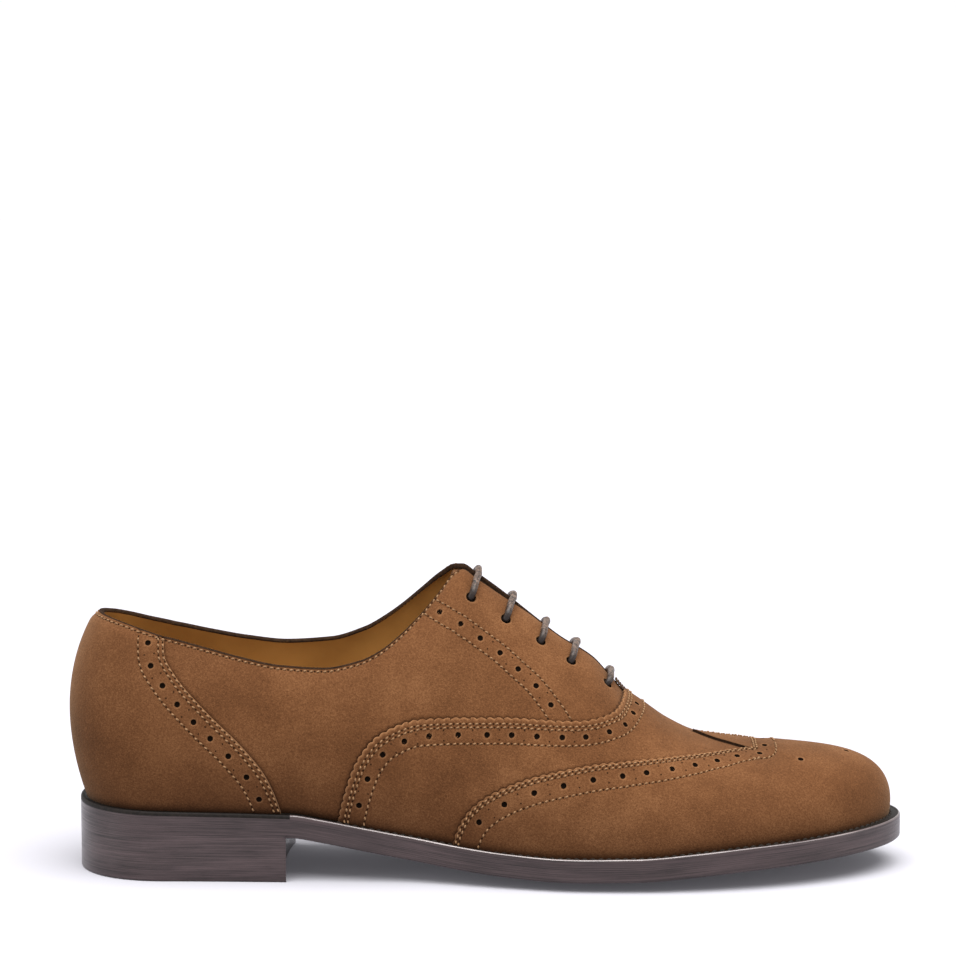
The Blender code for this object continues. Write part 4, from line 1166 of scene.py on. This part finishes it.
def make_panels(skin, lines, finishes):
    """Skins of counter, quarters, vamp and wing cap, with their pits, grooves and scalloped edges."""
    suede = [finishes["suede"], finishes["rim"]]
    centres, normals, lifts = ({name: [] for name in BROGUE_ROWS} for _ in range(3))
    for side in SIDES:
        for name, (_, row, places) in BROGUE_ROWS.items():
            holes = beside(side, lines, name, row) if row else lines[side][name][0]
            at = np.array(places)
            place = even_line(side, holes, at[at < wall_run(side, holes)[-1] - 0.5])
            point, normal, _, _ = along_wall(side, place)
            centres[name].append(point)
            normals[name].append(normal)
            lifts[name].append(LAPS[name](side, place))
    centres, normals, lifts = (
        {name: np.concatenate(parts) for name, parts in rows.items()} for rows in (centres, normals, lifts)
    )

    field = {name: seam_field(skin, lines, name) for name in (*BROGUE_ROWS, "peak", "bridge")}
    behind, ahead, over = field["wing"], field["peak"], field["bridge"]
    sign = np.where((behind[0] > 0) | (over[0] > 0), 1.0, -1.0)
    wing_rows = sign * np.minimum(np.abs(behind[0]), np.abs(over[0]))
    sign = np.where((behind[0] > 0) | (ahead[0] > 0), 1.0, -1.0)
    on_peak = np.abs(ahead[0]) < np.abs(behind[0])
    wing_into = np.where(on_peak[..., None], ahead[2], behind[2])
    field["wing"] = (sign * np.minimum(np.abs(behind[0]), np.abs(ahead[0])), behind[1], wing_into)
    folds = folds_relief(skin["point"])
    station = skin["station"][:, None]
    top_edge = skin["point"][:, -1:, :]
    drop = np.linalg.norm(skin["point"] - top_edge, axis=-1)
    scallop = {
        name: SCALLOP_REACH * (np.abs(np.sin(math.pi * field[name][1] / SCALLOP_PITCH)) - 1)
        for name in ("vamp", "wing")
    }
    scallop["wing"] = np.where(on_peak, 0.0, scallop["wing"])
    skin["burr"] = np.zeros_like(drop)

    def pits(name, radius=HOLE_RADIUS, depth=HOLE_DEPTH):
        """Relief of a row's holes; the painted highlight rings round them are kept in the skin."""
        gap = hole_gap(skin, centres[name], radius)
        burr = HOLE_HIGHLIGHT * np.exp(-(((gap - HOLE_HIGHLIGHT_PLACE * radius) / HOLE_HIGHLIGHT_WIDTH) ** 2))
        skin["burr"] = np.maximum(skin["burr"], burr)
        return pit(gap, radius, depth)

    def softened(inside):
        """Relief of a rounded edge."""
        return -SOFT_DROP * np.exp(-np.maximum(inside, 0) / SOFT_WIDTH)

    def shadow_of(inside):
        """Shade beside a panel's edge on the piece that it covers."""
        return np.exp(-((np.minimum(inside, 0) / SHADE_WIDTH) ** 2)) * (inside < SHADE_REACH)

    thinned = np.where(station < THROAT_STATION, pared(drop), 1.0)
    none = np.zeros_like(drop)
    # Painted shade: darker low on the sides and round the seat, less so towards the toe
    rise = np.clip((skin["point"][..., 2] - skin["point"][:, :1, 2]) / LOW_SHADE_RISE, 0, 1)
    seat = np.clip(1 - skin["point"][..., 0] / LOW_SHADE_SEAT, 0, 1)
    front = np.clip((skin["point"][..., 0] - LOW_SHADE_TOE_X) / LOW_SHADE_TOE_RUN, 0, 1)
    foot = (1 - rise) ** 2 * (1 - LOW_SHADE_TOE_SHARE * front)
    skin["painted_low_shade"] = 1 - (1 - foot) * (1 - LOW_SHADE_SEAT_SHARE * seat)
    # Painted shade in the crease where the upper meets the welt
    skin["feather"] = np.exp(-(((skin["point"][..., 2] - skin["point"][:, :1, 2]) / CREASE_SHADE_RISE) ** 2))

    vamp_inside = field["vamp"][0] + scallop["vamp"]
    wing_inside = field["wing"][0] + scallop["wing"]

    # Heel counter
    inside = field["counter"][0] - COUNTER_TRIM
    relief = folds + row_relief(field["counter"][0], BROGUE_ROWS["counter"][0])
    relief = relief + pits("counter") + softened(inside)
    relief = relief + row_relief(drop, (TOP_ROW_DROP,)) + softened(drop)
    cut_panel(
        "counter_skin", skin, FIRST_LAP * thinned, inside, field["counter"][2], relief, none > 0, none,
        FIRST_LAP, suede, nodes=("heel_counter",), slot="suede",
    )

    # Quarters, one piece a side, lapped under counter and vamp
    eyelet_x, eyelet_height, _ = np.array(EYELETS).T
    eyelets = [wall_frame(side_station(eyelet_x), eyelet_height, side) for side in SIDES]
    centres["eyelet"] = np.concatenate([e[0] for e in eyelets])
    normals["eyelet"] = np.concatenate([e[1] for e in eyelets])
    facing = field["facing"][0]
    near_facing = drop < FACING_BAND
    relief = folds + row_relief(np.where(near_facing, facing, FAR), BROGUE_ROWS["facing"][0])
    relief = relief + pits("facing") + pits("eyelet", EYELET_RADIUS, EYELET_DEPTH)
    top_row = station < side_station(TOP_ROW_GROOVE_X)
    relief = relief + np.where(top_row, row_relief(drop, (TOP_ROW_DROP,)), 0.0)
    covered = (field["vamp"][0] > HIDDEN_LAP) | (field["counter"][0] > HIDDEN_LAP)
    covered = covered | (station > THROAT_STATION + 1)
    relief = relief + softened(drop)
    for side, name in ((LATERAL, "outer_quarter_skin"), (MEDIAL, "inner_quarter_skin")):
        other = skin["lateral"] if side == MEDIAL else ~skin["lateral"]
        hidden = covered | (other[:, None] & np.ones_like(covered))
        hidden[0] = covered[0]
        cut_panel(
            name, skin, none, np.full_like(drop, FAR), field["vamp"][2], relief, hidden,
            np.maximum(shadow_of(vamp_inside), COUNTER_SHADE * shadow_of(inside)),
            0.0, suede, nodes=("upper",), slot="suede",
        )

    # Vamp
    inside = vamp_inside
    relief = folds + row_relief(field["vamp"][0], BROGUE_ROWS["vamp"][0]) + pits("vamp") + softened(inside)
    cut_panel(
        "vamp_skin", skin, FIRST_LAP + none, inside, field["vamp"][2], relief, field["wing"][0] > HIDDEN_LAP,
        shadow_of(wing_inside), FIRST_LAP, suede, nodes=("vamp",), slot="suede",
    )

    # Wing cap
    medallion_x, medallion_y = np.array(MEDALLION).T
    points, outs = [], []
    for side in SIDES:
        mine = medallion_y * side > 0 if side == MEDIAL else medallion_y <= 0
        y = SPINE_Y + np.where(medallion_y == 0, side * 0.4, medallion_y)
        place = find_on_wall(side, SECOND_LAP, medallion_x[mine], y[mine], 1)
        point, normal, _, _ = along_wall(side, place)
        points.append(point)
        outs.append(normal)
    centres["medallion"], normals["medallion"] = np.concatenate(points), np.concatenate(outs)
    lifts["medallion"] = np.full(len(centres["medallion"]), SECOND_LAP)
    inside = wing_inside
    relief = folds + row_relief(wing_rows, BROGUE_ROWS["wing"][0]) + pits("wing") + pits("medallion")
    cut_panel(
        "wing_cap_skin", skin, SECOND_LAP + none, inside, field["wing"][2], relief + softened(inside),
        none > 0, on_peak * np.exp(-((inside / PEAK_SHADE_WIDTH) ** 2)), FIRST_LAP, suede, on_peak,
        nodes=("wing_cap",), slot="suede",
    )
    return centres, normals, lifts


def make_holes(centres, normals, lifts, finishes):
    """Dark cups in the punched holes and eyelets, painted shade of their depth, and the pinpricks in pairs
    between them as dark dots of painted shade.
    """
    centres = {n: c + normals[n] * folds_relief(c)[:, None] for n, c in centres.items()}
    middle = np.concatenate([centres[n] + normals[n] * lift[:, None] for n, lift in lifts.items()])
    square = np.concatenate([normals[n] for n in lifts])
    discs("punched_holes", middle, square, HOLE_RADIUS, HOLE_CUP, finishes["punch"], slot="suede")
    discs(
        "eyelet_holes", centres["eyelet"], normals["eyelet"], EYELET_RADIUS, EYELET_CUP,
        finishes["punch"], slot="suede",
    )
    pricks, pointing = [], []
    for name, lift in lifts.items():
        for part in np.array_split(np.arange(len(centres[name])), 2):
            here, out = centres[name][part], normals[name][part]
            if name == "medallion" or len(here) < 2:
                continue
            between, facing_out = (here[1:] + here[:-1]) / 2, unit(out[1:] + out[:-1])
            offset = (lift[part][1:] + lift[part][:-1])[:, None] / 2
            tangent = here[1:] - here[:-1]
            step = np.linalg.norm(tangent, axis=1, keepdims=True)
            across = np.cross(facing_out, tangent / step)
            sag = (step**2 / 8) * np.linalg.norm(out[1:] - out[:-1], axis=1, keepdims=True) / step
            for swing in (-1.0, 1.0):
                pricks.append(between + facing_out * (offset + sag) + across * swing * PINPRICK_SPREAD)
                pointing.append(facing_out)
    discs(
        "pinpricks", np.concatenate(pricks), np.concatenate(pointing), PINPRICK_RADIUS, PINPRICK_CUP,
        finishes["needle"], slot="suede",
    )


def make_stitching(lines, finishes):
    """All the upper's stitch rows as joined threads, with a needle hole at each end of a stitch."""
    rows, holes = [], []
    for side in SIDES:
        for name, lap in LAPS.items():
            for distance in BROGUE_ROWS[name][0]:
                beside_line = beside(side, lines, name, distance)
                if name == "facing":
                    beside_line = clear_of_vamp(side, beside_line, lines)
                threads, needle = stitch_places(side, beside_line, lap)
                rows.append(threads)
                holes.append(needle)
        stations = np.linspace(1.0, side_station(TOP_ROW_FRONT_X), 400)
        top = np.stack([stations, np.ones_like(stations)], -1)
        top[:, 1] = 1 - TOP_ROW_DROP / np.linalg.norm(along_wall(side, top)[3], axis=1)
        seat_end = lines[side]["counter"][0][-1, 0]

        def top_lap(side, line):
            """Height of the counter as far as it goes, then of the bare quarter."""
            return np.where(line[:, 0] < seat_end, thinned_lap(side, line), 0.0)

        threads, needle = stitch_places(side, even_line(side, top), top_lap)
        rows.append(threads)
        holes.append(needle)
    stitches(
        "seam_stitches", rows, STITCH_LENGTH, STITCH_RADIUS, STITCH_SINK, finishes["thread"], slot="suede"
    )
    points, outs = (np.concatenate([h[k] for h in holes]) for k in range(2))
    # Each needle hole is a small dark disc of painted shade
    discs("needle_holes", points, outs, NEEDLE_HOLE_RADIUS, NEEDLE_CUP, finishes["needle"], slot="suede")


def clear_of_vamp(side, line, lines):
    """The part of a line that the vamp doesn't cover."""
    edge, inward = lines[side]["vamp"]
    point, _, into = across_line(side, edge, inward)
    here = along_wall(side, line)[0]
    index = nearest(here, point)[1]
    free = ((here - point[index]) * into[index]).sum(1) < -0.4
    return even_line(side, line[free])


def make_lining(finishes):
    """Inside of the upper as a smooth lining, and the turned dark edge along the top line and facings."""
    stations = stretches((0, THROAT_STATION, 180), (THROAT_STATION, TOE_STATION, 60))[:, None]
    heights = np.linspace(0, 1, 46)[None]
    ring = once_round(*(wall_offset(stations, heights, side, -WALL_THICKNESS) for side in SIDES))
    grid_piece("lining", ring, [finishes["lining"]], closed=True, flip=True, slot="lining_leather")

    along = np.linspace(0, THROAT_STATION, 420)
    bead = np.array(TOP_LINE_BEAD)
    strips = []
    for side in SIDES:
        point, normal, _, up = wall_frame(along, np.ones_like(along), side)
        strips.append(point[:, None] + normal[:, None] * bead[:, :1] + unit(up)[:, None] * bead[:, 1:])
    path = np.concatenate([strips[1][:0:-1], strips[0]])
    grid_piece("top_line_edge", path, [finishes["rim"]], slot="suede")


def make_tongue(finishes):
    """Tongue: a thin sheet under both facings, rounded at its edges."""
    stations = np.linspace(side_station(TONGUE_BACK_X + 1), ridge_station(TONGUE_FRONT_X - 1), 150)[:, None]
    heights = np.linspace(TONGUE_LOW, 1, 40)[None]
    sheets = []
    for depth in (WALL_THICKNESS + GAP, WALL_THICKNESS + GAP + TONGUE_THICKNESS):
        outer, inner = (wall_offset(stations, heights, side, -depth) for side in SIDES)
        sheets.append(np.concatenate([outer, inner[:, -2::-1]], 1))
    over, under = sheets
    middle = (over + under) / 2
    first_edge, last_edge = middle[:, :1], middle[:, -1:]
    section = np.concatenate([over, last_edge, under[:, ::-1], first_edge], 1)
    folded = np.concatenate([middle, last_edge, middle[:, ::-1], first_edge], 1)
    section = np.concatenate([folded[:1], section, folded[-1:]])
    section = np.concatenate([section, section[:, :1]], 1)
    grid_piece("tongue_sheet", section, [finishes["suede"]], join=True, nodes=("tongue",), slot="suede")


def sole_columns():
    """Stations once round the sole, with the distance from the back seam along each side."""
    one = stretches((0, HEEL_SPAN, 60), (HEEL_SPAN, BALL_STATION, 110), (BALL_STATION, TOE_STATION, 90))
    rings = []
    for side, stations in ((LATERAL, one), (MEDIAL, one[-2:0:-1])):
        rings.append((stations, side, rib(stations, side)[2], foot_distance(stations, side)))
    return rings, once_round(*(run_of(plan(one, side)[1]) for side in SIDES))


def sole_piece(name, profile, finish, kinds, **more):
    """Rings round the sole: each profile row gives a place on every rib and a height above the underside.

    A place is a share of the rib, a distance in from the sole's edge, or a distance in from the upper's foot.
    A row marked eased keeps its rounding only in front of the heel, where the sole's lower edge is free.
    Kinds are the finishes of the strips between the rows, in front of the heel and then at the seat.
    """
    rings, run = sole_columns()
    rows, rises = [], []
    for measure, amount, height, eased in profile:
        parts, rise = [], []
        for stations, side, reach, foot in rings:
            distance = {"share": reach * amount, "edge": reach - amount, "foot": foot - amount}[measure]
            up = np.full_like(reach, height)
            if eased:
                free = np.clip((plan(stations, side)[1][:, 0] - BREAST_X) / 1.5, 0, 1)
                distance, up = reach - amount * free, height * free
            parts.append(on_sole(stations, side, distance, up))
            rise.append(up)
        rows.append(np.concatenate(parts))
        rises.append(np.concatenate(rise))
    points = np.stack(rows, 1)
    floats = {"run": np.repeat(run, len(profile)), "rise": np.stack(rises, 1).ravel() + SOLE_RISE}
    at_seat = points[:, :1, 0] < BREAST_X
    strip = np.where(at_seat, [kinds[1]], [kinds[0]])
    piece = grid_piece(
        name, points, finish, closed=True, floats=floats, kinds=strip.ravel(), join=True, **more
    )
    piece.data.set_sharp_from_angle(angle=SHARP_ANGLE)


def make_sole(finishes):
    """Outsole, welt and insole as smooth rings that follow the sole's own function."""
    top = OUTSOLE_THICKNESS + GAP / 2
    outsole = [("share", s, 0.0, False) for s in (0.0, 0.15, 0.3, 0.45, 0.6, 0.72, 0.82, 0.91)]
    eased = ((0.8, 0.0), (0.36, 0.1), (0.08, 0.38), (0.0, 0.8))
    outsole += [("edge", inset, up, True) for inset, up in eased]
    outsole += [("edge", 0.0, h, False) for h in (1.4, 2.4, 3.4, 4.4, 5.0, top)]
    outsole += [("share", 0.9, top, False), ("share", 0.0, top, False)]
    kinds = [(1,) * 8 + (0,) * 11] * 2
    sole_piece(
        "outsole_leather", outsole, [finishes["edge"], finishes["tread"]], kinds,
        nodes=("outsole",), slot="sole_leather",
    )
    low, high = top, OUTSOLE_THICKNESS + GAP + WELT_THICKNESS
    welt = [("foot", WELT_LAP, low)]
    welt += [("edge", 0.0, low), ("edge", 0.0, high - 1.5), ("edge", 0.0, high - 0.75)]
    welt += [("edge", 0.07, high - 0.42), ("edge", 0.28, high - 0.14), ("edge", 0.62, high - 0.01)]
    welt += [("edge", 0.95, high - 0.02), ("edge", 1.4, high - 0.2), ("edge", 1.9, high - 0.05)]
    welt += [("foot", -1.4, high + 0.05), ("foot", -0.3, high + 0.12)]
    welt += [("foot", WELT_LAP, high), ("foot", WELT_LAP, low)]
    # In front of the heel strips five and six carry the bevel's painted highlight line; at the seat the upper
    # strips take the black welt dressing
    kinds = [(0, 0, 0, 0, 2, 2) + (1,) * 7, (0, 0) + (1,) * 11]
    dressing = [finishes["edge"], finishes["welt"], finishes["bevel"]]
    sole_piece(
        "welt_strip", [(*row, False) for row in welt], dressing, kinds, nodes=("welt",), slot="sole_leather"
    )
    low, high = OUTSOLE_THICKNESS + GAP, OUTSOLE_THICKNESS + GAP + INSOLE_THICKNESS
    inset = WELT_LAP + GAP
    insole = [("share", s, low) for s in (0.0, 0.3, 0.6)]
    insole += [("foot", inset + 0.2, low), ("foot", inset, low + 0.6), ("foot", inset, high - 0.5)]
    insole += [("foot", 1.7, high - 0.35), ("foot", 1.7, high - 0.1), ("foot", 3.0, high)]
    insole += [("share", s, high) for s in (0.6, 0.45, 0.3, 0.15, 0.0)]
    kinds = [(0,) * (len(insole) - 1)] * 2
    sole_piece(
        "insole_sock", [(*row, False) for row in insole], [finishes["lining"]], kinds,
        nodes=("insole",), slot="lining_leather",
    )


def make_welt_stitches(finishes):
    """Lockstitches on top of the welt, set in the groove between its edge and the upper."""
    rows = []
    for side in SIDES:
        stations = np.linspace(side_station(WELT_STITCH_BACK_X), TOE_STATION, 900)
        reach, foot = rib(stations, side)[2], foot_distance(stations, side)
        distance = foot + 0.45 * (reach - foot)
        height = OUTSOLE_THICKNESS + GAP + WELT_THICKNESS + 0.05
        path = on_sole(stations, side, distance, height)
        run = run_of(path)
        count = int(run[-1] / WELT_STITCH_PITCH)
        at = (np.arange(count) + 0.5) * run[-1] / count
        middle, ahead, behind = (
            np.stack([np.interp(at + shift, run, path[:, k]) for k in range(3)], -1)
            for shift in (0.0, 0.5, -0.5)
        )
        tangent = unit(ahead - behind)
        up = unit(np.cross(np.cross(tangent, [[0.0, 0.0, 1.0]]), tangent))
        rows.append((middle, tangent, up))
    stitches(
        "welt_stitches", rows, WELT_STITCH_LENGTH, WELT_STITCH_RADIUS, WELT_STITCH_SINK,
        finishes["welt_thread"], slot="sole_leather",
    )


def heel_outline(inset):
    """Plan of a heel layer, the sole's edge round the seat closed by a hollow breast, and its run."""
    stations = stretches((0, HEEL_SPAN, 50), (HEEL_SPAN, side_station(BREAST_X), 40))
    sides = []
    for side in (MEDIAL, LATERAL):
        base, out, reach = rib(stations, side)
        sides.append(base + out * (reach - inset)[:, None])
    share = np.linspace(-1, 1, 40)[1:-1]
    breast = (sides[0][-1] + sides[1][-1]) / 2 + (sides[1][-1] - sides[0][-1]) / 2 * share[:, None]
    breast[:, 0] -= BREAST_HOLLOW * (1 - share**2) + inset
    outline = np.concatenate([sides[1][::-1], sides[0][1:], breast])
    return outline, run_of(outline)


def make_heel(finishes):
    """Stacked heel: top piece and two lifts, their joints closed and their lowest edge eased."""
    seams = (0.0, TOP_PIECE_THICKNESS + GAP / 2, TOP_PIECE_THICKNESS + LIFT_THICKNESS + GAP / 2)
    names = (("heel_top_piece", "top_piece"), ("heel_lift_1", "lower_lift"), ("heel_lift_2", "upper_lift"))
    outline, run = heel_outline(0.0)
    inner, _ = heel_outline(HEEL_EASE)
    middle = outline.mean(0)[None] * np.ones_like(outline)
    level = np.ones(len(outline))
    for i, (node, name) in enumerate(names):
        low = seams[i]
        top = level * seams[i + 1] if i < 2 else sole_under(outline[:, 0], 1.0)
        rings = [(middle, level * low)]
        if i == 0:
            rings += [(inner, level * low), (outline * 0.72 + inner * 0.28, level * (low + 0.16))]
            low = low + HEEL_EASE
        rings += [(outline, level * low), (outline, top), (middle, level * top.mean())]
        rings = [np.column_stack(ring) for ring in rings]
        points = np.stack(rings, 1)
        floats = {"run": np.repeat(run, points.shape[1]), "rise": points[..., 2].ravel()}
        kinds = np.tile([1] + [0] * (points.shape[1] - 2), len(outline))
        piece = grid_piece(
            name, points, [finishes["heel"], finishes["tread"]], closed=True, flip=True, floats=floats,
            kinds=kinds, join=True, nodes=(node,), slot="top_piece_rubber" if i == 0 else "sole_leather",
        )
        piece.data.set_sharp_from_angle(angle=SHARP_ANGLE)


def make_laces(finishes):
    """Round lace: each bar rises out of its eyelet, crosses the throat and goes down again."""
    for number, (x, low, lean) in enumerate(EYELETS, 1):
        share, lift = np.array(LACE_COURSE).T
        heights = low + (1 - low) * share
        stations = side_station(x + lean * share)
        halves = [wall_offset(stations, heights, side, lift) for side in SIDES]
        crown = (halves[0][-1] + halves[1][-1]) / 2 + np.array([0.0, 0.0, LACE_CROWN])
        path = soft_path(np.concatenate([halves[0], crown[None], halves[1][::-1]]), LACE_RINGS)
        surface = tube(path, closing(len(path), LACE_RADIUS), LACE_SIDES)
        share = np.linspace(0, 1, len(path))
        # Painted shade: the lace darkens towards its ends, down in the eyelets
        light = np.clip((np.minimum(share, 1 - share) - LACE_DARK_END) / LACE_LIGHT_RUN, 0, 1)
        grid_piece(
            f"lace_{number}", surface.swapaxes(0, 1), [finishes["lace"]], closed=True, join=True,
            floats={"light": np.tile(light, LACE_SIDES)}, nodes=(f"lace_bar_{number}",), slot="lace_cord",
        )


def make_bar_tack(finishes):
    """Bar tack that ties the facings at the foot of the throat: a few strands wound across it."""
    rows = []
    for k in range(TACK_STRANDS):
        place = np.array(side_station(TACK_X + TACK_PITCH * k)), np.array(TACK_HEIGHT)
        left, right = (wall_offset(*place, side, TACK_LIFT) for side in SIDES)
        crown = (left + right) / 2 + np.array([0.0, 0.0, TACK_CROWN])
        flanks = [(end + crown) / 2 + np.array([0.0, 0.0, TACK_FLANK]) for end in (left, right)]
        rows.append(soft_path(np.array([left, flanks[0], crown, flanks[1], right]), TACK_RINGS))
    girth = closing(TACK_RINGS, TACK_RADIUS)
    grids = np.stack([tube(path, girth, TACK_SIDES).swapaxes(0, 1) for path in rows])
    strands, sides, length = grids.shape[:3]
    number = np.arange(strands * sides * length).reshape(strands, sides, length)
    faces = np.concatenate([strip_quads(n, closed=True) for n in number])
    new_piece("bar_tack", grids.reshape(-1, 3), faces, [finishes["tack"]], join=True, slot="suede")


def in_scene(name, data):
    """New object of the scene with the given data."""
    obj = bpy.data.objects.new(name, data)
    bpy.context.collection.objects.link(obj)
    return obj


def make_studio():
    """Pale floor with a faint glow, painted light that lifts and tints its shadows; soft overhead light with
    two panels, and the camera at the photo's angle.
    """
    mesh = bpy.data.meshes.new("floor")
    corners = [(FLOOR_REACH * x, FLOOR_REACH * y, 0.0) for x, y in ((-1, -1), (1, -1), (1, 1), (-1, 1))]
    mesh.from_pydata(corners, [], [(0, 1, 2, 3)])
    # The floor's faint glow is painted light that lifts and tints its shadows
    material, _, _ = shader(
        "studio_floor", FLOOR_WHITE, 0.9,
        Specular_IOR_Level=0.0, Emission_Color=FLOOR_GLOW, Emission_Strength=0.06,
    )
    mesh.materials.append(material)
    floor = in_scene("floor", mesh)

    world = bpy.data.worlds.new("studio")
    bpy.context.scene.world = world
    world.use_nodes = True
    sky = world.node_tree.nodes["Background"].inputs
    sky["Color"].default_value = (1.0, 1.0, 1.0, 1.0)
    sky["Strength"].default_value = WORLD_STRENGTH

    sun = bpy.data.lights.new("overhead_softbox", "SUN")
    sun.angle, sun.energy = math.radians(SUN_SPREAD), SUN_STRENGTH
    x, y, z = SUN_FROM
    turn = math.atan2(y, x) + math.pi / 2
    in_scene("overhead_softbox", sun).rotation_euler = (math.atan2(math.hypot(x, y), z), 0.0, turn)
    for name, place, (tilt, turn), (width, height), power in LIGHT_PANELS:
        panel = bpy.data.lights.new(name, "AREA")
        panel.shape, panel.size, panel.size_y, panel.energy = "RECTANGLE", width, height, power
        lamp = in_scene(name, panel)
        lamp.location = place
        lamp.rotation_euler = (math.radians(tilt), 0.0, math.radians(turn))

    camera = bpy.data.cameras.new("camera")
    camera.sensor_width, camera.lens = SENSOR_WIDTH, LENS
    view = in_scene("camera", camera)
    view.location = CAMERA_PLACE
    view.rotation_euler = (math.radians(90 - CAMERA_DOWN), 0.0, 0.0)
    bpy.context.scene.camera = view
    bpy.context.scene.view_settings.view_transform = "Standard"


def main():
    """Finishes first, then every piece of the shoe, then the studio."""
    finishes = {"suede": suede_finish(), "lace": lace_finish()}
    for make, table in ((grained_finish, GRAINED), (edge_finish, POLISHED), (punch_finish, PUNCHED)):
        finishes.update({key: make(*values) for key, values in table.items()})
    skin = skin_grid()
    lines = {side: panel_lines(side) for side in SIDES}
    make_holes(*make_panels(skin, lines, finishes), finishes)
    make_stitching(lines, finishes)
    make_lining(finishes)
    make_tongue(finishes)
    make_sole(finishes)
    make_welt_stitches(finishes)
    make_heel(finishes)
    make_laces(finishes)
    make_bar_tack(finishes)
    make_studio()


main()
